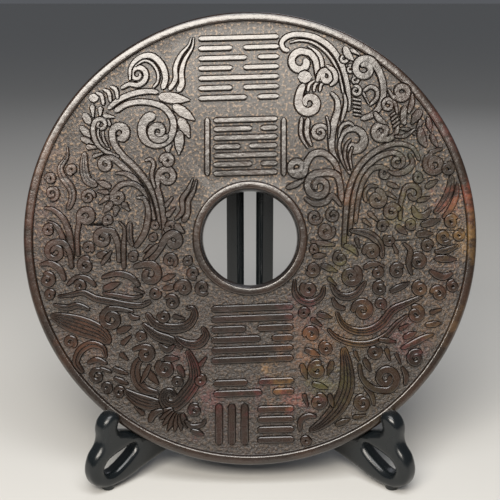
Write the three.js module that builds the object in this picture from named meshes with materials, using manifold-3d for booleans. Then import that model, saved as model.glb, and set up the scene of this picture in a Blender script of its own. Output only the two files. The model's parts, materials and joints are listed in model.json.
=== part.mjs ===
// A carved jade bi disc standing on a crossed pair of black moulded stand leaves.
// Millimetres, +Z up. The carved face looks towards -Y and leans back by LEAN.
import * as THREE from "three";
import { mergeVertices } from "three/addons/utils/BufferGeometryUtils.js";
import Module from "manifold-3d";

const wasm = await Module();
wasm.setup();

// ---------------------------------------------------------------- sizes (mm)
const DISC_R = 150;
const DISC_T = 20;
const EDGE_CHAMFER = 1.2;
const HOLE_R = 33;
const HOLE_WAIST_R = 30.8;
const COLLAR_R = 37.5;
const BORDER_R = 144.2;
const FIELD_DEPTH = 2;
const BACK_DEPTH = 1.6;
const STEP_RUN = 0.5; // slope of the walls between the border, the field and the collar
const LATHE_SIDES = 60;
const RELIEF_TOP = -0.25;
const RELIEF_ROOT = -3;
const CURL_STEP = 48; // degrees of turn between the sections of a scroll
const SMALL_CURL_R = 6; // scrolls under this radius take wider steps
const SMALL_CURL_STEP = 72;
const JOIN_WITHIN = 0.02; // corners nearer than this become one
const CURL_EYE = 0.24; // radius of a scroll's eye over its outer radius

const LEAN = THREE.MathUtils.degToRad(14);
const CENTRE_HEIGHT = 161.5; // the disc's front centre above the table
const CROSSING_Y = 57.3; // the leaves cross this far behind the disc's front centre
const LEAF_TURN = THREE.MathUtils.degToRad(45);
const LEAF_T = 13;
const LEAF_BEVEL = 3.2;
const UPRIGHT_S = 14.7;
const UPRIGHT_W = 6;
const UPRIGHT_BEVEL = 1.2;
const UPRIGHT_FOOT = 62;
const LAP_HEIGHT = 54;
const PAD_R = 4.6;
const FRONT_PAD_S = 133;
const REAR_PAD_S = -90;
const GAP = 0.3;

// ---------------------------------------------------------------- booleans
const solid = (geometry) => {
  const bare = geometry.clone();
  bare.deleteAttribute("normal");
  bare.deleteAttribute("uv");
  const merged = mergeVertices(bare, 1e-4);
  return new wasm.Manifold(
    new wasm.Mesh({
      numProp: 3,
      vertProperties: merged.attributes.position.array,
      triVerts: new Uint32Array(merged.index.array),
    }),
  );
};

const geometryOf = (manifold) => {
  const mesh = manifold.getMesh();
  const geometry = new THREE.BufferGeometry();
  geometry.setAttribute("position", new THREE.BufferAttribute(new Float32Array(mesh.vertProperties), 3));
  geometry.setIndex(new THREE.BufferAttribute(new Uint32Array(mesh.triVerts), 1));
  geometry.computeVertexNormals();
  return geometry;
};

const prism = (points, low, high) => {
  const shape = new THREE.Shape(points.map(([x, y]) => new THREE.Vector2(x, y)));
  const made = new THREE.ExtrudeGeometry(shape, { depth: high - low, bevelEnabled: false, steps: 1 });
  return solid(made.translate(0, 0, low));
};

const lathe = (profile, sides) => {
  const points = profile.map(([r, z]) => new THREE.Vector2(r, z));
  return new THREE.LatheGeometry(points, sides).rotateX(Math.PI / 2);
};

// ---------------------------------------------------------------- carving
// The carving is a set of raised ribbons on the front field. Each follows a few points in the
// disc's own plane, x to the right and y up from the hole's centre, and may end in a scroll.
// A ribbon is given by half-widths at its root, belly and tip.
const ribbons = [];

const band = (points, widths, curl = null) => {
  const path = points.map(([x, y]) => [x, y]);
  if (curl) {
    const [cx, cy, r, start, turns] = curl;
    const step = r < SMALL_CURL_R ? SMALL_CURL_STEP : CURL_STEP;
    const count = Math.max(3, Math.round((Math.abs(turns) * 360) / step));
    for (let i = 0; i <= count; i += 1) {
      const angle = THREE.MathUtils.degToRad(start + (360 * turns * i) / count);
      const radius = r * (1 - (1 - CURL_EYE) * (i / count));
      path.push([cx + radius * Math.cos(angle), cy + radius * Math.sin(angle)]);
    }
  }
  ribbons.push({ path, widths });
};

const curl = (scroll, widths) => band([], widths, scroll);

const knobs = [];

const boss = (x, y, radius) => knobs.push([x, y, radius]);

const leaf = (x0, y0, x1, y1, width) =>
  band([[x0, y0], [(x0 + x1) / 2, (y0 + y1) / 2], [x1, y1]], [width * 0.55, width, 0.4]);

const strokes = (cx, cy, width, height, rows, half, tilt, splits) => {
  for (let i = 0; i < rows; i += 1) {
    const y = cy + height / 2 - (height * (i + 0.5)) / rows;
    for (const [from, to] of splits[i % splits.length]) {
      const x0 = cx - width / 2 + width * from;
      const x1 = cx - width / 2 + width * to;
      band([[x0, y + (x0 - cx) * tilt], [x1, y + (x1 - cx) * tilt]], [half, half, half]);
    }
  }
};

const bars = (xs, top, bottom, half) => {
  for (const x of xs) {
    band([[x, top], [x, bottom]], [half, half, half]);
  }
};

// Sections across a ribbon: [left, right] points at each station of its path.
const sections = ({ path, widths }) => {
  const along = [0];
  for (let i = 1; i < path.length; i += 1) {
    along.push(along[i - 1] + Math.hypot(path[i][0] - path[i - 1][0], path[i][1] - path[i - 1][1]));
  }
  const length = along[along.length - 1];
  const [root, belly, tip] = widths;
  return path.map(([x, y], i) => {
    const before = path[Math.max(0, i - 1)];
    const after = path[Math.min(path.length - 1, i + 1)];
    const run = Math.hypot(after[0] - before[0], after[1] - before[1]);
    const nx = -(after[1] - before[1]) / run;
    const ny = (after[0] - before[0]) / run;
    const t = along[i] / length;
    const blend = root * (1 - t) * (1 - 2 * t) + 4 * belly * t * (1 - t) + tip * t * (2 * t - 1);
    const half = Math.max(0.35, blend);
    return [[x + nx * half, y + ny * half], [x - nx * half, y - ny * half]];
  });
};

// The corners of one stretch of ribbon, in order around their middle.
const around = (corners) => {
  const cx = corners.reduce((sum, [x]) => sum + x / corners.length, 0);
  const cy = corners.reduce((sum, [, y]) => sum + y / corners.length, 0);
  const angle = ([x, y]) => Math.atan2(y - cy, x - cx);
  return corners.slice().sort((a, b) => angle(a) - angle(b));
};

const relief = () => {
  const pieces = [];
  for (const ribbon of ribbons) {
    const rungs = sections(ribbon);
    for (let i = 1; i < rungs.length; i += 1) {
      const [a, b] = rungs[i - 1];
      const [c, d] = rungs[i];
      pieces.push(prism(around([a, b, c, d]), RELIEF_ROOT, RELIEF_TOP));
    }
  }
  for (const [x, y, radius] of knobs) {
    const corners = [];
    for (let i = 0; i < 12; i += 1) {
      const angle = (i * Math.PI) / 6;
      corners.push([x + radius * Math.cos(angle), y + radius * Math.sin(angle)]);
    }
    pieces.push(prism(corners, RELIEF_ROOT, RELIEF_TOP));
  }
  return pieces;
};

// upper left: crest scroll, long plume and the big coiled scroll
band([[-85.5, 99], [-80, 101.8], [-74.5, 101.2]], [1.2, 1.9, 1.1], [-74.3, 108.2, 6.3, -60, 1.25]);
band([
    [-79.3, 104.5], [-78.8, 113], [-73, 119.3], [-65, 120.6], [-58.2, 114.5], [-55.8, 106],
    [-57.8, 98.5],
], [0.9, 2.1, 1.9]);
band([
    [-38.8, 132.5], [-40.5, 127.5], [-46, 121], [-49.3, 113], [-49.3, 105], [-53.5, 98],
], [0.4, 1.6, 1.6]);
band([
    [-37.2, 132.5], [-38.2, 126], [-43.0, 118], [-45.3, 110], [-45, 102], [-48, 97],
], [0.4, 1.6, 2.2]);
band([[-94, 85.5], [-86, 92], [-76, 96], [-66, 97.2], [-60.5, 96.3]], [1.5, 2.0, 1.6]);
band([
    [-89.5, 83.8], [-81, 88.8], [-70, 90.2], [-58, 87.2], [-51.7, 80], [-50.6, 72.5], [-54, 65],
    [-62, 61.9], [-69.5, 65.5], [-71.5, 72.5], [-68.5, 79], [-62.5, 81.5],
], [1.9, 2.3, 3.4]);
curl([-60.6, 70.6, 6.4, -20, -1.35], [1.6, 2.4, 1.2]);
// middle left: bundle of stems with curled tips
band([
    [-58.8, 6], [-61, 20], [-65.5, 33], [-74, 45], [-84, 54.5], [-89.8, 62.5],
], [1.6, 1.9, 3.0], [-86, 69.6, 5.2, 190, -0.85]);
band([
    [-86.5, 53.8], [-95, 57.2], [-101.5, 63.5], [-103.8, 70.5],
], [1.0, 1.7, 1.0], [-98.8, 75, 4.4, 175, -1.2]);
band([
    [-63, 12], [-67.5, 27], [-75, 38.5], [-84, 47.5], [-90.5, 52.6],
], [1.2, 1.8, 1.5], [-95.4, 48.9, 4.4, 70, 1.15]);
band([
    [-66.8, 22], [-70, 30.5], [-77, 36], [-85, 35.6], [-90.4, 30.5],
], [1.0, 1.7, 1.4], [-87.3, 27.2, 3.9, 165, 1.15]);
band([
    [-56.3, -3], [-56.8, 12], [-59.3, 26], [-61.5, 34],
], [1.6, 2.0, 2.2], [-55, 40.8, 5.6, 170, -1.05]);
band([[-37.8, 39.5], [-41, 32], [-44.8, 26], [-44.6, 18], [-49.5, 12.3]], [0.4, 1.6, 0.9]);
band([[-35.2, 38.5], [-37.3, 31], [-40.9, 24.5], [-41.2, 16.5], [-44.5, 10.8]], [0.4, 1.6, 1.6]);
band([
    [-66.2, -15.5], [-60.5, -7.8], [-56.2, -0.5],
], [1.7, 2.3, 2.0], [-50.6, -1.6, 5.0, 140, -0.95]);
band([
    [-120.6, 60.3], [-121, 54], [-125.3, 47], [-123.8, 40.5], [-118.3, 33], [-117.6, 26],
    [-120.5, 19],
], [0.4, 2.3, 1.6]);
band([[-109.3, 57], [-109.8, 46], [-107.2, 38.2], [-101, 34.8]], [1.4, 2.9, 2.0]);
band([[-75, 27], [-70.3, 26.3], [-67.4, 20], [-67.6, 12], [-70, 3], [-76, -6]], [0.8, 2.0, 1.4]);
// lower left: flame tails and wave scrolls
band([[-117.8, -14], [-118.8, 0], [-122.8, 12], [-130, 18.8], [-136, 20.2]], [1.6, 1.9, 0.8]);
band([[-86.5, -16], [-87, -5], [-90.5, 4]], [1.6, 1.9, 1.6], [-97.3, 0, 5.6, 60, 1.2]);
band([[-118, -20], [-119, -10], [-122.6, -3.6]], [1.4, 1.8, 1.4], [-128.6, -8.8, 6.6, 70, 1.35]);
band([[-139, -17.5], [-132.5, -16.5], [-125.8, -20.5], [-122.5, -28]], [0.7, 2.0, 1.2]);
band([
    [-127, -38.5], [-119, -37.5], [-110, -36], [-102, -39.8], [-92, -41.8], [-82, -43.8],
    [-72, -44.3], [-65.5, -41.5],
], [0.7, 2.0, 1.2]);
band([[-131.5, -51], [-121, -55], [-109, -59], [-99, -63], [-92.5, -69.5]], [1.8, 6.4, 2.2]);
band([[-77, -48.5], [-85, -46.8]], [1.0, 1.8, 1.5], [-91.6, -53.3, 7.2, 70, 1.45]);
band([
    [-95.2, -79], [-97.3, -72.5], [-104.5, -70], [-112, -74], [-115, -82], [-110.5, -89],
], [0.7, 2.4, 1.2]);
// bottom left: fanned tail
band([[-70, -77.5], [-75.3, -84], [-75.3, -93], [-69.5, -100], [-60.5, -102.3]], [1.2, 3.1, 1.3]);
band([[-83, -100.3], [-75.5, -106], [-67, -109], [-58, -110]], [1.2, 4.4, 2.6]);
band([
    [-41.5, -74], [-37.2, -84], [-36.6, -94], [-41.5, -102.3],
], [1.4, 4.2, 1.2], [-52.5, -104.6, 6.6, -35, -1.0]);
band([
    [-68.5, -49.5], [-62.5, -56.8], [-52, -59.6], [-42, -58], [-36.8, -51.5], [-38, -46.5],
    [-42.3, -46.3],
], [1.4, 3.0, 0.9]);
band([[-71, -56.5], [-62, -64.2], [-52, -67.6], [-44.5, -72.6]], [1.2, 3.0, 1.4]);
band([[-49, -65.6], [-41.5, -69.8], [-34, -69.8], [-29.2, -64.5], [-31.5, -58.6]], [0.9, 2.8, 1.0]);
band([[-77.5, -73.8], [-71.5, -71.6]], [1.0, 1.9, 1.3], [-69, -76.4, 4.8, 75, -1.1]);
curl([-56, -86, 5.6, 120, 1.35], [1.5, 1.9, 1.1]);
// upper right: hooked plume and curled fronds
band([
    [26, 124], [22.3, 125.2], [20.9, 129.5], [25, 133.6], [33, 134.8], [43, 132.8], [52.5, 126.8],
    [59.3, 117.5], [63.3, 106], [65.3, 94], [65.3, 84],
], [1.6, 2.1, 1.4]);
band([
    [26.2, 129.3], [33, 130.8], [42, 129.0], [51, 122.3], [57.3, 112.5], [60.2, 103], [61.5, 96],
], [0.6, 1.1, 0.8]);
band([
    [45.5, 104.5], [44.3, 111], [43.3, 117.5], [40, 122],
], [1.8, 2.4, 2.6], [33.6, 116.4, 7.8, 55, 0.98]);
boss(36.2, 106.6, 4.5);
band([[35.6, 102], [33.2, 97.3]], [2.2, 3.0, 1.8], [39, 89.6, 7.4, 160, 1.2]);
band([
    [73.5, 78.8], [82, 82.5], [87.3, 91], [88, 101.5], [85.5, 110],
], [1.8, 2.4, 2.1], [75.6, 112, 7.4, 35, 1.3]);
band([
    [53.5, 96.5], [57.3, 92], [58, 85], [55.6, 76.5], [53.9, 66.5], [54.6, 57], [58.5, 49.5],
], [1.2, 2.5, 1.3]);
band([[66.5, 42.5], [61, 51.5], [58.9, 60]], [1.1, 1.7, 4.4], [68.8, 64.8, 8.6, 165, -0.9]);
band([[34.2, 80], [33.6, 68.5], [38.4, 59.6]], [1.2, 1.3, 0.5]);
curl([46, 69.9, 5.2, 20, 1.5], [1.3, 1.7, 0.9]);
// middle right: rings and the long arched stems
band([
    [59.5, 41], [56, 50], [49, 56.3], [41.5, 55.6], [37, 49],
], [1.6, 2.3, 1.9], [31.3, 47, 5.6, -35, -1.3]);
band([
    [60.3, 24], [59.8, 34], [57.5, 41.5], [51.5, 43.6],
], [1.8, 2.3, 1.6], [45.6, 34.5, 9.0, 75, 1.45]);
band([
    [62, -6], [63, 12], [64.5, 28], [68.5, 41], [75, 51], [85, 58.8], [97, 62.7], [107.5, 60],
    [112.3, 51.5],
], [1.4, 1.8, 1.1]);
band([
    [65.8, 2], [67.6, 20], [70.2, 34], [75.8, 45.5], [84.5, 53.5], [94, 56.7],
], [1.3, 1.7, 1.2], [97.3, 50.8, 4.6, 65, -1.1]);
band([
    [69.6, 10], [71.6, 26], [75, 38], [80.3, 45.4], [86.5, 47.3],
], [1.2, 1.6, 1.2], [88.5, 42.9, 3.6, 100, -1.0]);
band([[98, 77.5], [96.5, 69.5], [91.5, 65.4]], [1.2, 2.0, 1.6], [86.6, 70.8, 5.8, -60, -1.4]);
band([[112.3, 73.5], [113.6, 66], [116.5, 60.5]], [1.2, 2.9, 0.7]);
band([[127.5, 59.5], [120, 57]], [0.8, 1.9, 1.6], [121.8, 48.9, 6.8, 110, 1.45]);
band([[133.5, 41.5], [131.8, 31], [127.3, 22.5], [122, 16.5]], [1.4, 2.5, 1.2]);
band([[99.3, 12], [99.6, 23], [101.8, 31]], [1.1, 1.6, 1.3], [107.6, 29.3, 6.4, 150, -0.95]);
curl([83.8, 26, 5.8, 100, -1.35], [1.6, 2.0, 1.1]);
curl([93.8, 17.4, 5.2, 10, 1.4], [1.4, 1.7, 0.9]);
// lower right: cloud scrolls over two long ribs
curl([50.3, 5, 5.1, 30, -1.45], [1.4, 1.7, 1.0]);
band([[66, 5], [73, 4.3], [80.3, 2], [86, -4], [87.6, -13]], [0.8, 2.5, 1.0]);
curl([66.8, -24.8, 6.4, 70, -1.5], [1.6, 2.0, 1.1]);
band([[53.5, -30], [57.5, -36.4], [64, -38.8], [71, -36], [76.5, -28.5]], [0.8, 2.3, 0.9]);
band([
    [29.5, -27.5], [29.6, -35.5], [34, -41.2], [41, -42.3], [47.3, -38], [49, -31.5],
], [0.7, 2.1, 0.8]);
curl([38.8, -33.4, 4.8, 130, 1.4], [1.3, 1.7, 0.9]);
curl([74.6, -47.6, 6.6, 190, -1.5], [1.5, 2.0, 1.0]);
band([
    [57.3, -49], [61.5, -57], [69.5, -61.2], [79, -61], [87.5, -56], [94.3, -47.5], [103, -43.3],
    [114, -38],
], [0.9, 2.7, 0.9]);
band([
    [51.5, -60], [58, -66], [69, -69.6], [80, -69.2], [90, -64], [97, -56.5], [104, -51],
], [0.8, 1.9, 0.8]);
// bottom right: broad tail and scrolls
band([
    [61.8, -72], [64, -86], [63.8, -99], [58, -112], [48.5, -122], [39.5, -127.5],
], [1.6, 5.0, 1.4]);
curl([44.5, -87, 5.4, 60, 1.4], [1.5, 1.8, 1.0]);
band([[72.3, -83], [74, -92], [80, -98.6]], [0.9, 2.2, 1.6], [90, -92.6, 8.2, -100, 1.4]);

// four blocks of plain strokes down the middle, which spell nothing
const WHOLE = [[0, 1]];
const SPLIT_LEFT = [[0, 0.42], [0.56, 1]];
const SPLIT_RIGHT = [[0, 0.6], [0.74, 1]];
strokes(-7.5, 113, 53, 46, 7, 1.7, 0.03, [WHOLE, SPLIT_LEFT, SPLIT_RIGHT, SPLIT_LEFT]);
strokes(-3, 61, 42, 41, 7, 1.7, 0.03, [WHOLE, SPLIT_RIGHT, WHOLE, SPLIT_LEFT]);
bars([-28.2, 22.3], 79.5, 41.5, 1.7);
strokes(1.5, -63, 54, 41, 6, 2, 0.04, [WHOLE, WHOLE, SPLIT_LEFT, SPLIT_RIGHT]);
strokes(2.5, -98.5, 53, 14, 2, 2, 0.04, [SPLIT_LEFT, SPLIT_RIGHT]);
bars([-20.5, -12, -3.5], -109.5, -136.5, 2.2);
strokes(17, -123, 24, 27, 4, 2, 0.03, [WHOLE, WHOLE]);

// ---------------------------------------------------------------- the disc
// Local frame: x to the right, y up the face, z out of the carved face, which lies at z = 0.
const discProfile = [
  [HOLE_R, 0],
  [COLLAR_R, 0],
  [COLLAR_R + STEP_RUN, -FIELD_DEPTH],
  [BORDER_R - STEP_RUN, -FIELD_DEPTH],
  [BORDER_R, 0],
  [DISC_R - EDGE_CHAMFER, 0],
  [DISC_R, -EDGE_CHAMFER],
  [DISC_R, EDGE_CHAMFER - DISC_T],
  [DISC_R - EDGE_CHAMFER, -DISC_T],
  [BORDER_R, -DISC_T],
  [BORDER_R - STEP_RUN, BACK_DEPTH - DISC_T],
  [COLLAR_R + STEP_RUN, BACK_DEPTH - DISC_T],
  [COLLAR_R, -DISC_T],
  [HOLE_R, -DISC_T],
  [HOLE_WAIST_R, -DISC_T / 2],
  [HOLE_R, 0],
];
const blank = solid(lathe(discProfile.slice().reverse(), LATHE_SIDES));
const carved = wasm.Manifold.union([blank, ...relief()]).setTolerance(JOIN_WITHIN);

const discPose = new THREE.Matrix4().makeRotationX(Math.PI / 2 - LEAN);
discPose.setPosition(0, 0, CENTRE_HEIGHT);

// ---------------------------------------------------------------- the stand leaves
// Local frame: x outwards along the leaf from the crossing to the front foot, y up, z across.
const FOOT = [
  [136, 2.4], [141.5, 4.6], [146.2, 8], [149.2, 14], [149, 20.5], [145.8, 27.5], [141, 33],
  [139.4, 38], [139.6, 43.5], [137.8, 49], [133.6, 53], [128.6, 54], [124.8, 51.6],
];
const SEAT = [[124, 47.5], [126, 43.8], [125, 39.8], [120.5, 38], [113, 35.4], [104, 31.2], [94, 31.4]];
const BACK_OF_SEAT = [[75, 38], [50, 48.5], [30, 62], [19, 79], [9, 80], [0, 75]];
const REAR_LEG = [[-14, 65], [-40, 47], [-66, 30], [-84, 18], [-95, 12], [-98.5, 7], [-95, 2.8], [-87, 2.4]];
const REAR_ARCH = [[-78, 8], [-58, 20], [-32, 29], [0, 33], [30, 32], [58, 26]];
const FRONT_ARCH = [[75, 18], [84.5, 12.8], [96, 10], [107, 7], [116.5, 4], [126, 2.4]];
const SLOT = [
  [136.5, 13.5], [130, 13.1], [121, 17.4], [114.5, 22], [112.3, 25.2], [115.6, 26.6], [124.5, 25],
  [134, 21.8], [137.8, 17.5],
];

const closedCurve = (points, count) => {
  const knots = points.map(([s, h]) => new THREE.Vector3(s, h, 0));
  const curve = new THREE.CatmullRomCurve3(knots, true, "centripetal");
  const dots = curve.getSpacedPoints(count).slice(0, count);
  return dots.map((dot) => new THREE.Vector2(dot.x, dot.y));
};

const bevelled = (shape, bevel) => {
  const options = {
    depth: LEAF_T - 2 * bevel,
    steps: 1,
    bevelEnabled: true,
    bevelThickness: bevel,
    bevelSize: bevel,
    bevelOffset: -bevel,
    bevelSegments: 1,
  };
  return solid(new THREE.ExtrudeGeometry(shape, options).translate(0, 0, bevel - LEAF_T / 2));
};

const box = (width, height, depth, x, y, z) =>
  solid(new THREE.BoxGeometry(width, height, depth).translate(x, y, z));

const pad = (s) => {
  const foot = lathe([[0, 6], [0, 0], [PAD_R - 0.8, 0], [PAD_R, 0.8], [PAD_R, 6], [0, 6]], 16);
  return solid(foot.rotateX(-Math.PI / 2).translate(s, 0, 0));
};

// Height of the uprights: their front corner stops just short of the disc's back field.
const reach = (UPRIGHT_S + UPRIGHT_W / 2 + LEAF_T / 2 - UPRIGHT_BEVEL) * Math.cos(LEAF_TURN);
const uprightY = CROSSING_Y - reach;
const uprightTop =
  CENTRE_HEIGHT +
  (uprightY * Math.cos(LEAN) - (DISC_T - BACK_DEPTH + GAP)) / Math.sin(LEAN);

const leafPose = (side) => {
  const pose = new THREE.Matrix4().makeRotationZ(-Math.PI / 2 + side * LEAF_TURN);
  pose.multiply(new THREE.Matrix4().makeRotationX(Math.PI / 2));
  pose.setPosition(0, CROSSING_Y, 0);
  return pose;
};

const clearanceProfile = [
  [HOLE_R - 3, GAP],
  [DISC_R + GAP, GAP],
  [DISC_R + GAP, -DISC_T - GAP],
  [HOLE_R - 3, -DISC_T - GAP],
  [HOLE_R - 3, GAP],
];

const standLeaf = (side) => {
  const outline = closedCurve(
    [...FOOT, ...SEAT, ...BACK_OF_SEAT, ...REAR_LEG, ...REAR_ARCH, ...FRONT_ARCH],
    74,
  );
  const shape = new THREE.Shape(outline);
  shape.holes.push(new THREE.Path(closedCurve(SLOT, 14)));
  let body = bevelled(shape, LEAF_BEVEL);
  const bar = new THREE.Shape([
    new THREE.Vector2(UPRIGHT_S - UPRIGHT_W / 2, UPRIGHT_FOOT),
    new THREE.Vector2(UPRIGHT_S + UPRIGHT_W / 2, UPRIGHT_FOOT),
    new THREE.Vector2(UPRIGHT_S + UPRIGHT_W / 2, uprightTop),
    new THREE.Vector2(UPRIGHT_S - UPRIGHT_W / 2, uprightTop),
  ]);
  body = body.add(bevelled(bar, UPRIGHT_BEVEL));
  body = body.add(pad(FRONT_PAD_S));
  body = body.add(pad(REAR_PAD_S));
  // half-lap: one leaf is notched from above, the other from below
  const notch = LEAF_T + 2 * GAP;
  const centre = side < 0 ? LAP_HEIGHT + 50 - GAP / 2 : LAP_HEIGHT - 50 + GAP / 2;
  body = body.subtract(box(notch, 100, LEAF_T + 4, 0, centre, 0));
  const toLeaf = leafPose(side).invert().multiply(discPose);
  const clearance = lathe(clearanceProfile.slice().reverse(), LATHE_SIDES).applyMatrix4(toLeaf);
  return body.subtract(solid(clearance));
};

// ---------------------------------------------------------------- the scene graph
const jade = new THREE.MeshStandardMaterial({ color: 0x5f4a3c, roughness: 0.35, metalness: 0 });
const plastic = new THREE.MeshStandardMaterial({ color: 0x15181a, roughness: 0.22, metalness: 0 });

const place = (name, manifold, material, pose) => {
  const mesh = new THREE.Mesh(geometryOf(manifold), material);
  mesh.name = name;
  pose.decompose(mesh.position, mesh.quaternion, mesh.scale);
  return mesh;
};

const object = new THREE.Group();
object.add(place("bi_disc", carved, jade, discPose));
object.add(place("stand_leaf_left", standLeaf(-1), plastic, leafPose(-1)));
object.add(place("stand_leaf_right", standLeaf(1), plastic, leafPose(1)));

// The origin is the middle of the footprint, on the table.
object.updateMatrixWorld(true);
const bounds = new THREE.Box3().setFromObject(object, true);
const middle = bounds.getCenter(new THREE.Vector3());
object.position.set(-middle.x, -middle.y, -bounds.min.z);

export default object;
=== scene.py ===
"""Looks of a carved jade bi disc that leans in a crossed pair of black plastic stand leaves.

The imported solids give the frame. The disc and the two stand leaves are built again here as finer
meshes of the same form: the disc with its whole carving, the leaves with fully rounded edges.
"""

from __future__ import annotations

import json
import logging
import math
from dataclasses import dataclass, field
from enum import Enum

import bmesh
import bpy
import numpy as np
from mathutils import Matrix, Vector

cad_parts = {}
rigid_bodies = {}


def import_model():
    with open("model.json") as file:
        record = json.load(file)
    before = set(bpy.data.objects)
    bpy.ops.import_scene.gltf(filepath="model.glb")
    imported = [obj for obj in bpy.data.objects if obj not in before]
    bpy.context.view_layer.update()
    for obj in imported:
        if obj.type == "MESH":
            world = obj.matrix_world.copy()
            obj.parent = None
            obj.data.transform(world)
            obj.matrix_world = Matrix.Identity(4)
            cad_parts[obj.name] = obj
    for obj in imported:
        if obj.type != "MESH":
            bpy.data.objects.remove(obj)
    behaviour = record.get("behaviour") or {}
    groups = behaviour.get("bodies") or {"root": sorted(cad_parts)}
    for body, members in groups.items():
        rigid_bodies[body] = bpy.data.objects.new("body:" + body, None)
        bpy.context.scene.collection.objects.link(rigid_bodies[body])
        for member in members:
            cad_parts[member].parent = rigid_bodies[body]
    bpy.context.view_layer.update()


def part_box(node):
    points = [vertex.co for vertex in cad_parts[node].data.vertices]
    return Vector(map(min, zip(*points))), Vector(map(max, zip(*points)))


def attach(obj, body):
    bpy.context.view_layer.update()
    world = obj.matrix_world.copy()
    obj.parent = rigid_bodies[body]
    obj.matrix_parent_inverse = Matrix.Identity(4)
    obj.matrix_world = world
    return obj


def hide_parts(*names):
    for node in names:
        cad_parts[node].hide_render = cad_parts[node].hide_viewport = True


LOG = logging.getLogger("bi_disc")
MM = 0.001

FINEST = 0.3  # least half-width of a ribbon, in millimetres

Point = tuple[float, float]
Widths = tuple[float, float, float]
Curl = tuple[float, float, float, float, float]
Strip = tuple[np.ndarray, list[tuple[int, ...]]]


# ---------------------------------------------------------------------------------------------
# Carving: ribbons, scrolls, leaves and strokes
# ---------------------------------------------------------------------------------------------


@dataclass(frozen=True)
class Ribbon:
    """One raised ribbon of the carving.

    Attributes:
        path: Points that its middle line runs through, in millimetres on the disc's face.
        widths: Half-widths at its root, belly and tip.
        scroll: Centre x and y, outer radius, start angle in degrees and turns of its end scroll.
        ribs: How many grooves run along it.
    """

    path: tuple[Point, ...]
    widths: Widths
    scroll: Curl | None = None
    ribs: int = 0

    def knots(self) -> list[np.ndarray]:
        """Finds the points that the middle line runs through.

        Returns:
            The path's points, followed by the scroll's on its turning radius.
        """
        found = [np.array(p, float) for p in self.path]
        if self.scroll:
            x, y, radius, start, turns = self.scroll
            # The eye at its middle is left open, and each turn has twelve points.
            eye = max(0.22 * radius, self.widths[2] + 0.3)
            count = max(6, int(abs(turns) * 12))
            for i in range(count + 1):
                t = i / count
                angle = math.radians(start + 360 * turns * t)
                reach = radius + (eye - radius) * t
                found.append(np.array((x + reach * math.cos(angle), y + reach * math.sin(angle))))
        return found

    def line(self) -> tuple[np.ndarray, np.ndarray, np.ndarray]:
        """Works out the ribbon's shape.

        Returns:
            Stations on the smooth middle line, the unit normals there, and the half-widths.
        """
        dense = smooth(self.knots())
        run = np.concatenate([[0], np.cumsum(np.linalg.norm(np.diff(dense, axis=0), axis=1))])
        length = run[-1]
        stops = stations(dense, run, self.widths)
        points = np.stack([np.interp(stops, run, dense[:, k]) for k in (0, 1)], 1)
        ahead = np.stack([np.interp(np.minimum(stops + 0.3, length), run, dense[:, k]) for k in (0, 1)], 1)
        behind = np.stack([np.interp(np.maximum(stops - 0.3, 0), run, dense[:, k]) for k in (0, 1)], 1)
        along = ahead - behind
        along /= np.linalg.norm(along, axis=1)[:, None]
        normals = np.stack([-along[:, 1], along[:, 0]], 1)
        t = stops / length
        root, belly, tip = self.widths
        half = root * (1 - t) * (1 - 2 * t) + 4 * belly * t * (1 - t) + tip * t * (2 * t - 1)
        half = np.maximum(half, FINEST)
        for end, distance in ((root, stops), (tip, length - stops)):
            near = np.clip(distance / max(end, FINEST), 0, 1)
            half = half * np.sqrt(np.maximum(1 - (1 - near) ** 2, 0))
        return points, normals, np.maximum(half, 0.12)


def smooth(knots: list[np.ndarray], step: float = 0.5) -> np.ndarray:
    """Draws a Catmull-Rom line.

    Args:
        knots: The points that it runs through.
        step: About how far apart its points are, in millimetres.

    Returns:
        The line's points.
    """
    ends = [2 * knots[0] - knots[1], *knots, 2 * knots[-1] - knots[-2]]
    found = []
    for a, b, c, d in zip(ends, ends[1:], ends[2:], ends[3:]):
        count = max(1, round(float(np.linalg.norm(c - b)) / step))
        t = (np.arange(count) / count)[:, None]
        found.append(
            0.5 * (2 * b + (c - a) * t + (2 * a - 5 * b + 4 * c - d) * t**2 + (3 * b - a - 3 * c + d) * t**3)
        )
    return np.vstack([*found, knots[-1][None, :]])


def stations(dense: np.ndarray, run: np.ndarray, widths: Widths) -> np.ndarray:
    """Chooses where a ribbon has its sections.

    Args:
        dense: Points of the middle line.
        run: How far along the line each of them is.
        widths: Half-widths at the root, belly and tip.

    Returns:
        Distances along the line: close together in bends and in the round ends.
    """
    length = run[-1]
    root, _, tip = (max(w, FINEST) for w in widths)
    ends = []
    for end in (root, tip):
        # A fine tip has no section halfway round its end.
        angles = (0, 45, 90) if end > 0.6 else (0, 90)
        ends.append([end * t for t in 1 - np.cos(np.radians(angles)) if end * t < length / 2])
    first, last = ends[0], [length - t for t in ends[1]]
    steps = np.diff(dense, axis=0)
    heading = np.unwrap(np.arctan2(steps[:, 1], steps[:, 0]))
    turning = np.abs(np.diff(heading, prepend=heading[0]))
    # A section at least every 21 degrees of a bend, and every 5 mm where the width changes.
    reach = 14.0 if widths[0] == widths[1] else 5.0
    need = turning / math.radians(21) + np.linalg.norm(steps, axis=1) / reach
    need = np.concatenate([[0], np.cumsum(need)])
    low, high = np.interp((first[-1], last[-1]), run, need)
    middle = np.interp(np.linspace(low, high, max(2, round(high - low) + 1)), need, run)
    return np.unique(np.round(np.concatenate([first, middle, last]), 4))


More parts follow.
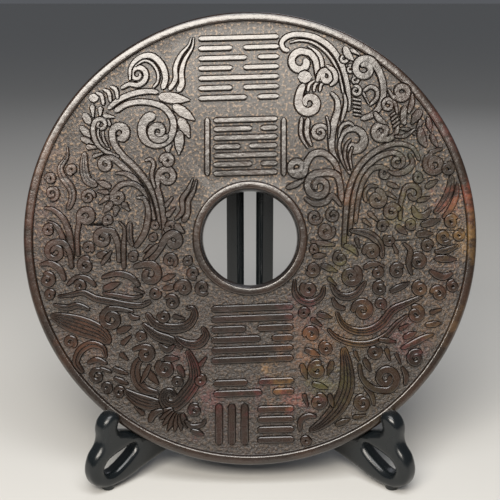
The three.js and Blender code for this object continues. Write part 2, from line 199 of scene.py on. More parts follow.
@dataclass
class Carving:
    """The list of ribbons, and the small motifs that they are made of.

    Attributes:
        ribbons: The ribbons, the lower ones first.
        ground: Inner and outer radius of the ground that small scrolls may fill.
        grid_edge: How far the points that the ground is measured at reach to each side.
        grid_top: How far they reach up.
        grid_step: How far apart they are.
        sections: Where the face is split, from left to right.
        levels: Height up to which each of its sections is filled.
        least_gap: The narrowest gap that is filled, as its inner radius.
        scroll_margin: Ground left round a scroll that fills a gap.
        largest_scroll: Its greatest radius.
        scroll_turns: Its turns.
        scroll_widths: Its half-widths at the root, belly and tip.
    """

    ribbons: list[Ribbon] = field(default_factory=list)
    ground: Point = (38.2, 143.4)
    grid_edge: float = 143.0
    grid_top: float = 96.0
    grid_step: float = 1.2
    sections: tuple[float, ...] = (-92.0, 0.0, 95.0)
    levels: tuple[float, ...] = (58.0, 12.0, 58.0, 95.0)
    least_gap: float = 4.8
    scroll_margin: float = 2.1
    largest_scroll: float = 4.6
    scroll_turns: float = 1.3
    scroll_widths: Widths = (1.0, 1.35, 0.8)

    def band(self, points: list[Point], widths: Widths, curl: Curl | None = None, ribs: int = 0) -> None:
        """Adds a ribbon through the points.

        Args:
            points: The points of its middle line.
            widths: Half-widths at its root, belly and tip.
            curl: The end scroll, if it has one.
            ribs: How many grooves run along it.
        """
        self.ribbons.append(Ribbon(tuple(points), widths, curl, ribs))

    def curl(self, x: float, y: float, radius: float, start: float, turns: float, widths: Widths) -> None:
        """Adds a scroll that stands alone.

        Args:
            x: Centre.
            y: Centre.
            radius: Outer radius of its middle line.
            start: Angle at which it starts, in degrees.
            turns: Turns to its eye, below zero if clockwise.
            widths: Half-widths at its root, belly and tip.
        """
        self.band([], widths, (x, y, radius, start, turns))

    def leaf(self, x0: float, y0: float, x1: float, y1: float, width: float, bend: float = 0) -> None:
        """Adds a pointed leaf.

        Args:
            x0: Root.
            y0: Root.
            x1: Tip.
            y1: Tip.
            width: Half-width of its belly.
            bend: How far it bends to the left, as a share of its length.
        """
        middle = ((x0 + x1) / 2 - (y1 - y0) * bend, (y0 + y1) / 2 + (x1 - x0) * bend)
        self.band([(x0, y0), middle, (x1, y1)], (width * 0.55, width, 0.3))

    def boss(self, x: float, y: float, radius: float) -> None:
        """Adds a round boss.

        Args:
            x: Centre.
            y: Centre.
            radius: Radius.
        """
        self.band([(x - radius, y), (x + radius, y)], (radius, radius, radius))

    def comb(self, x: float, y: float, step: Point, count: int, path: list[Point], widths: Widths) -> None:
        """Adds equal short ribbons in a row.

        Args:
            x: Where the first starts.
            y: Where the first starts.
            step: From one to the next.
            count: How many.
            path: Each one's points, from where it starts.
            widths: Half-widths at the root, belly and tip.
        """
        for i in range(count):
            self.band([(x + step[0] * i + px, y + step[1] * i + py) for px, py in path], widths)

    def fan(
        self, x: float, y: float, inner: float, outer: float, first: float, step: float, count: int
    ) -> None:
        """Adds narrow leaves that spread from a point.

        Args:
            x: The point.
            y: The point.
            inner: How far from it they start.
            outer: How far from it the middle one ends.
            first: Angle of the first, in degrees.
            step: Angle from one to the next.
            count: How many.
        """
        for i in range(count):
            angle = math.radians(first + step * i)
            reach = outer - abs(i - (count - 1) / 2) * 0.9
            c, s = math.cos(angle), math.sin(angle)
            self.leaf(x + inner * c, y + inner * s, x + reach * c, y + reach * s, 1.9)

    def strokes(
        self, x: float, y: float, size: Point, rows: int, half: float, tilt: float, splits: list[list[Point]]
    ) -> None:
        """Adds rows of plain rounded strokes, which spell nothing.

        Args:
            x: Centre of the block.
            y: Centre of the block.
            size: Width and height of the block.
            rows: How many rows.
            half: Half-width of a stroke.
            tilt: Rise along a row.
            splits: Starts and ends of the strokes of each row, as shares of its width.
        """
        width, height = size
        for i in range(rows):
            level = y + height / 2 - height * (i + 0.5) / rows
            for start, end in splits[i % len(splits)]:
                x0, x1 = x - width / 2 + width * start, x - width / 2 + width * end
                ends = [(x0, level + (x0 - x) * tilt), (x1, level + (x1 - x) * tilt)]
                self.band(ends, (half, half, half))

    def fill(self, blocks: list[tuple[float, float, float, float]]) -> None:
        """Fills the bare ground low on the face with small scrolls, the widest gaps first.

        Args:
            blocks: The inscription's blocks, as left, right, low and high.
        """
        xs, ys = np.meshgrid(
            np.arange(-self.grid_edge, self.grid_edge + 1, self.grid_step),
            np.arange(-self.grid_edge, self.grid_top, self.grid_step),
        )
        grid = np.stack([xs.ravel(), ys.ravel()], 1)
        away = np.linalg.norm(grid, axis=1)
        x, y = grid.T
        room = np.minimum(self.ground[1] - away, away - self.ground[0])
        room[y > np.array(self.levels)[np.searchsorted(self.sections, x)]] = 0
        for left, right, low, high in blocks:
            beside = np.maximum(np.maximum(left - x, x - right), 0)
            above = np.maximum(np.maximum(low - y, y - high), 0)
            room = np.minimum(room, np.hypot(beside, above))
        flow = np.stack([-y, x], 1) / np.maximum(away, 1)[:, None]
        for ribbon in self.ribbons:
            self.crowd(ribbon, grid, room, flow)
        while room.max() > self.least_gap:
            best = int(room.argmax())
            here, ahead = grid[best], flow[best]
            radius = min(float(room[best]) - self.scroll_margin, self.largest_scroll)
            turns = self.scroll_turns if (here[0] + here[1]) % 2 < 1 else -self.scroll_turns
            start = math.degrees(math.atan2(ahead[1], ahead[0]))
            self.curl(*here, radius, start, turns, self.scroll_widths)
            self.crowd(self.ribbons[-1], grid, room, flow)
            room[best] = 0

    @staticmethod
    def crowd(
        ribbon: Ribbon, grid: np.ndarray, room: np.ndarray, flow: np.ndarray, reach: float = 14, fine: int = 3
    ) -> None:
        """Takes the space of a ribbon from the room left on the ground.

        Args:
            ribbon: The ribbon.
            grid: Points of the ground.
            room: How far each is from the nearest ribbon's side.
            flow: Direction of the nearest ribbon at each.
            reach: How far from the ribbon its points are looked at.
            fine: How many points stand for each of its stations.
        """
        points, normals, half = ribbon.line()
        share = np.linspace(0, len(points) - 1, fine * len(points))
        line, side, wide = (
            np.stack([np.interp(share, np.arange(len(points)), row) for row in np.atleast_2d(rows.T)], 1)
            for rows in (points, normals, half)
        )
        inside = (grid > line.min(0) - reach).all(1) & (grid < line.max(0) + reach).all(1)
        near = np.flatnonzero(inside & (room > 0))
        if not len(near):
            return
        away = np.linalg.norm(grid[near, None] - line[None], axis=2) - wide[:, 0][None]
        nearest = away.argmin(1)
        closer = away.min(1) < room[near]
        room[near[closer]] = away.min(1)[closer]
        along = np.stack([side[:, 1], -side[:, 0]], 1)[nearest]
        flow[near[closer]] = along[closer]

    def bars(self, xs: list[float], top: float, bottom: float, half: float) -> None:
        """Adds upright strokes.

        Args:
            xs: Where each of them is.
            top: Height of their upper ends.
            bottom: Height of their lower ends.
            half: Half-width of a stroke.
        """
        for x in xs:
            self.band([(x, top), (x, bottom)], (half, half, half))

    def left_upper(self) -> None:
        """Crest scroll, long plume and the big coiled scroll."""
        self.band(
            [(-85.5, 99), (-80, 101.8), (-74.5, 101.2)],
            (1.2, 1.9, 1.1), curl=(-74.3, 108.2, 6.3, -60, 1.25),
        )
        self.band(
            [(-79.3, 104.5), (-78.8, 113), (-73, 119.3), (-65, 120.6), (-58.2, 114.5), (-55.8, 106),
             (-57.8, 98.5)],
            (0.9, 2.1, 1.9),
        )
        self.band(
            [(-75.8, 113.8), (-70, 117.4), (-64.5, 115.4), (-60.9, 109.5), (-61, 103.5), (-64, 99.6)],
            (0.5, 1.1, 0.9),
        )
        self.band(
            [(-38.8, 132.5), (-40.5, 127.5), (-46, 121), (-49.3, 113), (-49.3, 105), (-53.5, 98)],
            (0.4, 1.6, 1.6),
        )
        self.band(
            [(-37.2, 132.5), (-38.2, 126), (-43.0, 118), (-45.3, 110), (-45, 102), (-48, 97)],
            (0.4, 1.6, 2.2),
        )
        self.band([(-94, 85.5), (-86, 92), (-76, 96), (-66, 97.2), (-60.5, 96.3)], (1.5, 2.0, 1.6))
        self.leaf(-60.5, 93.8, -39.8, 91.3, 3.8)
        self.leaf(-50.8, 88, -36.5, 78, 3.5)
        self.leaf(-46.5, 79.5, -40, 66.5, 3.7)
        self.leaf(-46.5, 71, -47, 55.3, 3.4)
        self.leaf(-54.3, 63.5, -54.5, 56, 3.2)
        self.band(
            [(-89.5, 83.8), (-81, 88.8), (-70, 90.2), (-58, 87.2), (-51.7, 80), (-50.6, 72.5), (-54, 65),
             (-62, 61.9), (-69.5, 65.5), (-71.5, 72.5), (-68.5, 79), (-62.5, 81.5)],
            (1.9, 2.3, 3.4),
        )
        self.curl(-60.6, 70.6, 6.4, -20, -1.35, (1.6, 2.4, 1.2))
        self.boss(-103.3, 92.8, 3.2)
        self.comb(-101.8, 96.5, (4.7, 2.0), 3, [(0, 0), (3.7, -2.2), (5.0, -8.5)], (1.0, 1.5, 1.1))
        self.leaf(-104.3, 88.3, -103.6, 80, 2.4)
        self.leaf(-98.9, 87, -99, 80, 2.3)
        self.leaf(-97, 81.2, -89.5, 80, 2.4)
        self.leaf(-95, 78.3, -91.5, 73.6, 2.2)
        self.leaf(-110, 82.5, -104.6, 74.3, 2.8)
        self.leaf(-112.3, 73.8, -104.6, 66.5, 2.6)
        self.leaf(-111.8, 66.5, -103.6, 62.3, 2.2)
        self.leaf(-108.3, 60.5, -100.2, 60, 2.4)
        self.leaf(-104, 54, -96, 56.8, 1.8)

    def left_middle(self) -> None:
        """Bundle of stems with curled tips."""
        self.band(
            [(-58.8, 6), (-61, 20), (-65.5, 33), (-74, 45), (-84, 54.5), (-89.8, 62.5)],
            (1.6, 1.9, 3.0), curl=(-86, 69.6, 5.2, 190, -0.85),
        )
        self.band(
            [(-86.5, 53.8), (-95, 57.2), (-101.5, 63.5), (-103.8, 70.5)],
            (1.0, 1.7, 1.0), curl=(-98.8, 75, 4.4, 175, -1.2),
        )
        self.band([(-100.1, 72.5), (-100.3, 68), (-97.3, 62), (-92.6, 58.6)], (0.5, 1.0, 0.8))
        self.band([(-97, 70.8), (-96.8, 66), (-94, 60.5)], (0.4, 1.0, 0.6))
        self.band(
            [(-63, 12), (-67.5, 27), (-75, 38.5), (-84, 47.5), (-90.5, 52.6)],
            (1.2, 1.8, 1.5), curl=(-95.4, 48.9, 4.4, 70, 1.15),
        )
        self.band([(-70, 31.5), (-76, 39), (-82.5, 42.8), (-89, 43)], (0.8, 1.7, 0.5))
        self.band(
            [(-66.8, 22), (-70, 30.5), (-77, 36), (-85, 35.6), (-90.4, 30.5)],
            (1.0, 1.7, 1.4), curl=(-87.3, 27.2, 3.9, 165, 1.15),
        )
        self.band(
            [(-56.3, -3), (-56.8, 12), (-59.3, 26), (-61.5, 34)],
            (1.6, 2.0, 2.2), curl=(-55, 40.8, 5.6, 170, -1.05),
        )
        self.band([(-62.8, 33), (-65, 42), (-63.6, 49), (-66, 52.3), (-69.5, 51.3)], (0.8, 1.4, 0.8))
        self.curl(-54.8, 51.3, 4.2, 190, -1.3, (1.4, 1.9, 1.0))
        self.band([(-37.8, 39.5), (-41, 32), (-44.8, 26), (-44.6, 18), (-49.5, 12.3)], (0.4, 1.6, 0.9))
        self.band(
            [(-35.2, 38.5), (-37.3, 31), (-40.9, 24.5), (-41.2, 16.5), (-44.5, 10.8)],
            (0.4, 1.6, 1.6),
        )
        self.leaf(-56.3, 21, -51, 27.5, 2.0)
        self.leaf(-55.5, 14.5, -49.5, 20.3, 2.4)
        self.curl(-53, 7.8, 3.6, 200, 1.3, (1.2, 1.5, 0.9))
        self.leaf(-49.5, 9.3, -43.5, 3.5, 3.0)
        self.band(
            [(-66.2, -15.5), (-60.5, -7.8), (-56.2, -0.5)],
            (1.7, 2.3, 2.0), curl=(-50.6, -1.6, 5.0, 140, -0.95),
        )
        self.band(
            [(-120.6, 60.3), (-121, 54), (-125.3, 47), (-123.8, 40.5), (-118.3, 33), (-117.6, 26),
             (-120.5, 19)],
            (0.4, 2.3, 1.6), ribs=1,
        )
        self.band([(-109.3, 57), (-109.8, 46), (-107.2, 38.2), (-101, 34.8)], (1.4, 2.9, 2.0), ribs=2)
        self.leaf(-92, 33.8, -101.2, 38, 2.2)
        self.leaf(-93.3, 30, -101, 31.3, 2.2)
        self.leaf(-93, 28, -100, 22.6, 2.3)
        self.leaf(-91, 24, -96.8, 17, 2.3)
        self.leaf(-88.2, 21.5, -89.3, 14.8, 2.7)
        self.leaf(-84.2, 23.5, -79.8, 18.3, 2.6)
        self.band(
            [(-75, 27), (-70.3, 26.3), (-67.4, 20), (-67.6, 12), (-70, 3), (-76, -6)],
            (0.8, 2.0, 1.4),
        )
        self.band([(-79.5, 10.5), (-79.6, 1), (-77.5, -5)], (1.6, 1.9, 0.9), ribs=1)
        self.curl(-62.6, 8.6, 2.3, 80, 1.2, (1.0, 1.1, 0.8))
        self.curl(-64.3, 0.9, 2.3, 80, -1.2, (1.0, 1.1, 0.8))
        self.leaf(-64.8, -4.5, -70.5, -9.5, 1.7)
        self.leaf(-61, -4, -70.5, -14, 1.6)

    def left_lower(self) -> None:
        """Flame tails and wave scrolls."""
        self.band([(-117.8, -14), (-118.8, 0), (-122.8, 12), (-130, 18.8), (-136, 20.2)], (1.6, 1.9, 0.8))
        self.band([(-121.5, -12), (-123.3, -1), (-127.5, 7.5), (-134, 11.5)], (1.0, 1.6, 0.6))
        self.band(
            [(-113.6, -12), (-114.3, 2), (-113, 11)],
            (1.2, 1.7, 2.4), curl=(-108.2, 14.6, 4.9, 175, -1.0),
        )
        self.band([(-86.5, -16), (-87, -5), (-90.5, 4)], (1.6, 1.9, 1.6), curl=(-97.3, 0, 5.6, 60, 1.2))
        self.band([(-83.3, -20), (-83.6, -6), (-83, 6), (-86.5, 11)], (1.2, 1.5, 0.4))
        self.band(
            [(-118, -20), (-119, -10), (-122.6, -3.6)],
            (1.4, 1.8, 1.4), curl=(-128.6, -8.8, 6.6, 70, 1.35),
        )
        self.curl(-108.6, -17.8, 4.9, 60, 1.3, (1.5, 1.7, 1.0))
        self.leaf(-101.5, -11.5, -92.6, -15.3, 2.4, 0.25)
        self.leaf(-98.2, -17.3, -91.5, -8.3, 1.6)
        self.band([(-139, -17.5), (-132.5, -16.5), (-125.8, -20.5), (-122.5, -28)], (0.7, 2.0, 1.2))
        self.band([(-77, -19), (-71.5, -17.4)], (1.4, 2.4, 1.5), curl=(-66.5, -23.9, 6.8, 80, -0.95))
        self.curl(-134, -27.5, 4.6, 120, -1.3, (1.2, 1.6, 0.9))
        self.curl(-133, 5.5, 3.4, 40, 1.2, (1.0, 1.4, 0.8))
        self.band([(-121, -31), (-115, -26.3), (-107.5, -26.8), (-102, -31.5)], (0.7, 1.8, 1.0))
        self.curl(-112.5, -31.6, 3.6, 160, -1.2, (1.0, 1.3, 0.8))
        self.band([(-98, -26), (-88, -23.3), (-79, -25.5), (-73, -31.5)], (0.8, 1.8, 1.2))
        self.leaf(-97, -33.5, -86, -29.5, 2.2)
        self.leaf(-77, -33, -70, -36.3, 1.7)
        self.leaf(-58, -27.5, -49.5, -24, 1.8)
        self.leaf(-57.5, -33.5, -47.5, -31, 1.8)
        self.curl(-44, -33, 5.0, 200, -1.3, (1.3, 1.8, 1.0))
        self.curl(-41.5, -14.8, 2.7, 90, -1.2, (0.9, 1.2, 0.8))
        self.band(
            [(-127, -38.5), (-119, -37.5), (-110, -36), (-102, -39.8), (-92, -41.8), (-82, -43.8),
             (-72, -44.3), (-65.5, -41.5)],
            (0.7, 2.0, 1.2), ribs=1,
        )
        self.band([(-97.5, -36.3), (-88, -37.8), (-78, -39.4), (-71, -37.8)], (0.6, 1.3, 0.6))
        self.band([(-130, -44), (-121, -46), (-114, -44.4), (-106, -47)], (0.6, 1.9, 0.9), ribs=1)
        self.band(
            [(-131.5, -51), (-121, -55), (-109, -59), (-99, -63), (-92.5, -69.5)],
            (1.8, 6.4, 2.2), ribs=4,
        )
        self.band([(-77, -48.5), (-85, -46.8)], (1.0, 1.8, 1.5), curl=(-91.6, -53.3, 7.2, 70, 1.45))
        self.band([(-80.3, -49.3), (-77.5, -52.3), (-73, -52.6)], (0.6, 1.6, 0.6))
        self.band(
            [(-95.2, -79), (-97.3, -72.5), (-104.5, -70), (-112, -74), (-115, -82), (-110.5, -89)],
            (0.7, 2.4, 1.2), ribs=1,
        )
        self.band([(-94.5, -83), (-101, -80.3), (-107.5, -82.5)], (0.6, 1.7, 0.8))
        self.band([(-91.5, -88.5), (-98, -86.3)], (0.7, 1.5, 1.1), curl=(-101, -91.2, 4.6, 60, 1.1))
        self.leaf(-90.5, -86, -80.5, -89.8, 1.7)
        self.leaf(-90, -92.3, -80.5, -96.3, 1.8)
        self.leaf(-86, -76, -80.8, -80.5, 2.0)
        self.leaf(-88, -62, -78.5, -58.5, 2.2)
        self.leaf(-85, -70, -78.5, -64.5, 2.2)
        self.curl(-86.3, -102, 3.4, 30, 1.2, (1.0, 1.3, 0.8))

    def left_bottom(self) -> None:
        """Fanned tail and broad leaves."""
        self.band(
            [(-70, -77.5), (-75.3, -84), (-75.3, -93), (-69.5, -100), (-60.5, -102.3)],
            (1.2, 3.1, 1.3), ribs=1,
        )
        self.band([(-83, -100.3), (-75.5, -106), (-67, -109), (-58, -110)], (1.2, 4.4, 2.6), ribs=3)
        self.band(
            [(-41.5, -74), (-37.2, -84), (-36.6, -94), (-41.5, -102.3)],
            (1.4, 4.2, 1.2), curl=(-52.5, -104.6, 6.6, -35, -1.0), ribs=3,
        )
        self.fan(-46.5, -111.5, 4.5, 17.5, 196, 15.5, 7)
        self.band([(-57.5, -113.6), (-63.5, -116), (-66.5, -121.5)], (1.0, 2.0, 1.4))
        self.band(
            [(-68.5, -49.5), (-62.5, -56.8), (-52, -59.6), (-42, -58), (-36.8, -51.5), (-38, -46.5),
             (-42.3, -46.3)],
            (1.4, 3.0, 0.9), ribs=2,
        )
        self.band([(-71, -56.5), (-62, -64.2), (-52, -67.6), (-44.5, -72.6)], (1.2, 3.0, 1.4), ribs=2)
        self.band(
            [(-49, -65.6), (-41.5, -69.8), (-34, -69.8), (-29.2, -64.5), (-31.5, -58.6)],
            (0.9, 2.8, 1.0), ribs=2,
        )
        self.band([(-60, -69.8), (-55, -73.8), (-49.8, -70.8)], (0.6, 1.8, 0.6))
        self.band([(-77.5, -73.8), (-71.5, -71.6)], (1.0, 1.9, 1.3), curl=(-69, -76.4, 4.8, 75, -1.1))
        self.curl(-56, -86, 5.6, 120, 1.35, (1.5, 1.9, 1.1))
        self.leaf(-68.5, -87, -60.5, -96.5, 2.4)
        self.leaf(-66, -83.5, -72, -95.5, 1.6)
        self.leaf(-57, -79.5, -47, -79.5, 2.1)
        self.leaf(-47.5, -84, -43.5, -92, 2.0)
        self.curl(-57, -51.5, 3.4, 150, 1.2, (1.2, 1.5, 0.9))
        self.leaf(-51, -51.5, -43, -53.3, 1.8)
        self.curl(-33, -93.8, 3.2, 90, -1.2, (1.1, 1.4, 0.8))
        self.leaf(-33.5, -84.5, -28.8, -78.5, 1.9)
        self.curl(-36.3, -113.6, 3.9, 60, 1.25, (1.1, 1.5, 0.9))
        self.band([(-43, -120.4), (-38.5, -124.3), (-32, -123.3), (-29.5, -119.8)], (0.7, 1.5, 0.7))
        self.leaf(-39, -127, -30.5, -130, 2.0)
        self.leaf(-70, -116.5, -76, -112, 1.8)

    def right_upper(self) -> None:
        """Hooked plume and curled fronds."""
        self.band(
            [(26, 124), (22.3, 125.2), (20.9, 129.5), (25, 133.6), (33, 134.8), (43, 132.8),
             (52.5, 126.8), (59.3, 117.5), (63.3, 106), (65.3, 94), (65.3, 84)],
            (1.6, 2.1, 1.4),
        )
        self.band(
            [(26.2, 129.3), (33, 130.8), (42, 129.0), (51, 122.3), (57.3, 112.5), (60.2, 103),
             (61.5, 96)],
            (0.6, 1.1, 0.8),
        )
        self.band([(38, 127.3), (43.5, 123.6), (46.6, 118.8), (47.5, 112)], (0.4, 1.7, 2.0))
        self.band(
            [(45.5, 104.5), (44.3, 111), (43.3, 117.5), (40, 122)],
            (1.8, 2.4, 2.6), curl=(33.6, 116.4, 7.8, 55, 0.98),
        )
        self.boss(36.2, 106.6, 4.5)
        self.band([(35.6, 102), (33.2, 97.3)], (2.2, 3.0, 1.8), curl=(39, 89.6, 7.4, 160, 1.2))
        self.comb(38.2, 97, (3.9, 0), 3, [(0, 0), (0.9, 4.4), (4.6, 7.3)], (1.1, 1.2, 0.9))
        self.band([(44.2, 103.2), (45.4, 107.2)], (1.2, 2.2, 1.6), curl=(50.3, 106.8, 4.6, 165, -1.15))
        self.band([(50.5, 114.3), (55.3, 110.6), (56.6, 104.5), (52.8, 100.8)], (1.0, 1.9, 0.9))
        self.curl(62, 118.9, 3.1, 100, -1.15, (1.1, 1.3, 0.9))
        self.curl(66.2, 111.9, 2.6, 120, -1.15, (1.0, 1.2, 0.8))
        self.curl(69.4, 104.8, 2.6, 120, -1.15, (1.0, 1.2, 0.8))
        self.curl(70, 97.4, 3.4, 110, -1.15, (1.1, 1.3, 0.9))
        self.leaf(62.5, 127, 68.6, 117.3, 2.6, -0.1)
        self.leaf(66.5, 124.8, 72.5, 121.3, 2.0)
        self.band(
            [(73.5, 78.8), (82, 82.5), (87.3, 91), (88, 101.5), (85.5, 110)],
            (1.8, 2.4, 2.1), curl=(75.6, 112, 7.4, 35, 1.3),
        )
        self.band([(78.6, 87.8), (83.6, 92.5), (83.8, 98), (79.5, 100.2), (74.8, 97)], (1.0, 1.5, 1.1))
        self.leaf(74.8, 96.3, 78.6, 88.6, 1.5)
        self.comb(67.8, 92.3, (0.1, -2.55), 5, [(0, 0), (5.6, -1.0)], (0.8, 0.9, 0.8))
        self.band(
            [(53.5, 96.5), (57.3, 92), (58, 85), (55.6, 76.5), (53.9, 66.5), (54.6, 57), (58.5, 49.5)],
            (1.2, 2.5, 1.3),
        )
        self.band([(62.2, 95.5), (63.3, 90), (62.3, 83.5), (60.3, 77)], (0.8, 1.5, 0.8))
        self.band(
            [(66.5, 42.5), (61, 51.5), (58.9, 60)],
            (1.1, 1.7, 4.4), curl=(68.8, 64.8, 8.6, 165, -0.9),
        )
        self.band([(58.4, 66.5), (60.3, 73.8), (65, 76.4), (68.6, 74.3)], (0.5, 1.3, 0.9))
        self.band([(65.3, 45.3), (62.6, 54), (63.6, 61.5), (66.8, 65.4)], (0.7, 1.1, 0.7))
        self.band([(67.2, 46), (65.9, 54), (67.6, 60.5)], (0.7, 1.0, 0.7))
        self.band([(34.2, 80), (33.6, 68.5), (38.4, 59.6)], (1.2, 1.3, 0.5))
        self.band([(38.3, 79.5), (37.5, 69), (40.8, 61)], (1.6, 1.8, 0.7))
        self.curl(46, 69.9, 5.2, 20, 1.5, (1.3, 1.7, 0.9))
        self.band([(50.5, 81), (52.2, 74), (52, 66)], (0.5, 0.9, 0.4))

    def right_middle(self) -> None:
        """Rings and the long arched stems."""
        self.band(
            [(59.5, 41), (56, 50), (49, 56.3), (41.5, 55.6), (37, 49)],
            (1.6, 2.3, 1.9), curl=(31.3, 47, 5.6, -35, -1.3),
        )
        self.band(
            [(60.3, 24), (59.8, 34), (57.5, 41.5), (51.5, 43.6)],
            (1.8, 2.3, 1.6), curl=(45.6, 34.5, 9.0, 75, 1.45),
        )
        self.band([(24, 33.3), (30, 35.6), (35.3, 38.5)], (1.2, 1.9, 0.8))
        self.band([(36, 26.8), (42.5, 22.8), (50, 24), (54.5, 28.2), (60.5, 21.3)], (0.9, 1.8, 0.8))
        self.band(
            [(62, -6), (63, 12), (64.5, 28), (68.5, 41), (75, 51), (85, 58.8), (97, 62.7), (107.5, 60),
             (112.3, 51.5)],
            (1.4, 1.8, 1.1),
        )
        self.band(
            [(65.8, 2), (67.6, 20), (70.2, 34), (75.8, 45.5), (84.5, 53.5), (94, 56.7)],
            (1.3, 1.7, 1.2), curl=(97.3, 50.8, 4.6, 65, -1.1),
        )
        self.band(
            [(69.6, 10), (71.6, 26), (75, 38), (80.3, 45.4), (86.5, 47.3)],
            (1.2, 1.6, 1.2), curl=(88.5, 42.9, 3.6, 100, -1.0),
        )
        self.band([(91, 44.5), (96.5, 42.8), (103, 44.5), (107.5, 49.5), (105.3, 56)], (0.7, 1.9, 1.0))
        self.band(
            [(98, 77.5), (96.5, 69.5), (91.5, 65.4)],
            (1.2, 2.0, 1.6), curl=(86.6, 70.8, 5.8, -60, -1.4),
        )
        self.leaf(82, 83.5, 91, 75.5, 2.0, -0.1)
        self.comb(92.6, 80.6, (0.6, -2.4), 4, [(0, 0), (4.6, 3.6)], (0.8, 0.9, 0.8))
        self.band([(97.5, 82), (96.3, 88)], (0.9, 1.4, 1.1), curl=(91.5, 88.2, 4.3, 25, 1.3))
        self.band([(91.3, 98.6), (94.8, 93)], (0.9, 1.9, 1.6), curl=(100, 96.8, 5.4, -140, 1.35))
        self.band([(107.3, 95.8), (107, 89), (104.3, 82.5)], (0.7, 1.8, 0.9))
        self.leaf(113, 85, 106.8, 75.5, 3.0)
        self.leaf(113.6, 78.3, 110, 71.3, 2.2)
        self.band([(102.3, 87.5), (101.3, 80), (102.2, 75)], (1.6, 2.3, 1.6))
        self.band([(99.3, 72.6), (105, 71.8), (109.3, 68.6)], (0.6, 1.2, 0.6))
        self.band([(95.5, 67.3), (102, 67.6), (109, 72.3)], (0.6, 1.2, 0.6))
        self.band([(112.3, 73.5), (113.6, 66), (116.5, 60.5)], (1.2, 2.9, 0.7))
        self.leaf(117.5, 80, 119.5, 70.5, 2.1)
        self.leaf(119.5, 68.8, 124, 60.5, 1.9)
        self.band([(127.5, 59.5), (120, 57)], (0.8, 1.9, 1.6), curl=(121.8, 48.9, 6.8, 110, 1.45))
        self.curl(130.6, 46.4, 3.9, 90, -1.3, (1.2, 1.4, 0.9))
        self.band([(133.5, 41.5), (131.8, 31), (127.3, 22.5), (122, 16.5)], (1.4, 2.5, 1.2), ribs=1)
        self.band([(137.2, 36.5), (136.3, 28), (132.6, 19.5), (127.5, 13.5)], (0.7, 1.7, 0.8))
        self.band(
            [(99.3, 12), (99.6, 23), (101.8, 31)],
            (1.1, 1.6, 1.3), curl=(107.6, 29.3, 6.4, 150, -0.95),
        )
        self.band([(107.5, 21.5), (110, 15.8), (115.3, 15), (119.3, 19.5)], (0.9, 2.1, 0.9))
        self.leaf(110.5, 24.5, 119, 27.2, 1.6)
        self.leaf(116, 33.5, 124, 38.5, 2.0)
        self.curl(83.8, 26, 5.8, 100, -1.35, (1.6, 2.0, 1.1))
        self.band([(76.8, 24), (75.8, 29.5), (79, 34.3), (84.5, 34.4)], (0.9, 1.2, 0.7))
        self.curl(93.8, 17.4, 5.2, 10, 1.4, (1.4, 1.7, 0.9))
        self.leaf(90.5, 36.6, 98.8, 33.4, 1.7)
        self.leaf(90, 30.6, 97, 26, 1.9)
        self.curl(87.8, 8, 3.3, 0, 1.3, (1.1, 1.3, 0.8))
        self.curl(92.2, -1.2, 3.4, 120, 1.3, (1.1, 1.3, 0.8))
        self.leaf(96.5, 8.3, 104, 2.8, 2.2)
        self.leaf(78.3, 17.5, 84.5, 11.5, 2.1)
        self.leaf(74.5, 12.5, 80.3, 8, 1.8)
        self.leaf(113, 8.6, 126, 12.3, 2.4)
        self.curl(133.2, 11, 3.9, 30, 1.3, (1.1, 1.5, 0.9))
        self.leaf(110, 2.5, 121, 3.3, 2.4)

    def right_lower(self) -> None:
        """Cloud scrolls over two long ribs."""
        self.curl(50.3, 5, 5.1, 30, -1.45, (1.4, 1.7, 1.0))
        self.band([(40, -2), (47, -3.3), (56.3, -4.3)], (0.6, 1.7, 0.6))
        self.curl(42.8, -7.5, 2.8, 60, 1.2, (0.9, 1.2, 0.8))
        self.leaf(41.5, -12, 50.5, -11, 1.9)
        self.band([(66, 5), (73, 4.3), (80.3, 2), (86, -4), (87.6, -13)], (0.8, 2.5, 1.0), ribs=1)
        self.curl(80.3, -8.8, 5.0, 200, -1.45, (1.4, 1.7, 0.9))
        self.leaf(62, -4.6, 71.5, -11.5, 2.0, 0.15)
        self.leaf(70, 0.5, 72.5, -6.5, 1.7)
        self.band([(89, -18.5), (81, -17), (75, -19.8)], (0.6, 1.7, 1.2))
        self.curl(84.3, -22.5, 3.3, 90, -1.2, (1.0, 1.4, 0.8))
        self.curl(66.8, -24.8, 6.4, 70, -1.5, (1.6, 2.0, 1.1))
        self.band(
            [(53.5, -30), (57.5, -36.4), (64, -38.8), (71, -36), (76.5, -28.5)],
            (0.8, 2.3, 0.9), ribs=1,
        )
        self.leaf(47, -17.5, 57.5, -22, 2.0)
        self.leaf(51.5, -26, 57, -31, 1.6)
        self.curl(41.5, -20.5, 4.2, 200, 1.3, (1.2, 1.6, 0.9))
        self.band(
            [(29.5, -27.5), (29.6, -35.5), (34, -41.2), (41, -42.3), (47.3, -38), (49, -31.5)],
            (0.7, 2.1, 0.8), ribs=1,
        )
        self.curl(38.8, -33.4, 4.8, 130, 1.4, (1.3, 1.7, 0.9))
        self.band([(54.5, -39.5), (57.5, -44.8), (63, -46.6)], (0.7, 1.6, 0.8))
        self.curl(74.6, -47.6, 6.6, 190, -1.5, (1.5, 2.0, 1.0))
        self.band(
            [(57.3, -49), (61.5, -57), (69.5, -61.2), (79, -61), (87.5, -56), (94.3, -47.5),
             (103, -43.3), (114, -38)],
            (0.9, 2.7, 0.9), ribs=2,
        )
        self.band(
            [(51.5, -60), (58, -66), (69, -69.6), (80, -69.2), (90, -64), (97, -56.5), (104, -51)],
            (0.8, 1.9, 0.8), ribs=1,
        )
        self.curl(86, -33, 4.2, 60, 1.3, (1.2, 1.5, 0.9))
        self.leaf(92.5, -35.3, 105.5, -29.3, 2.0)
        self.curl(111, -15.2, 5.0, 150, -1.4, (1.3, 1.7, 0.9))
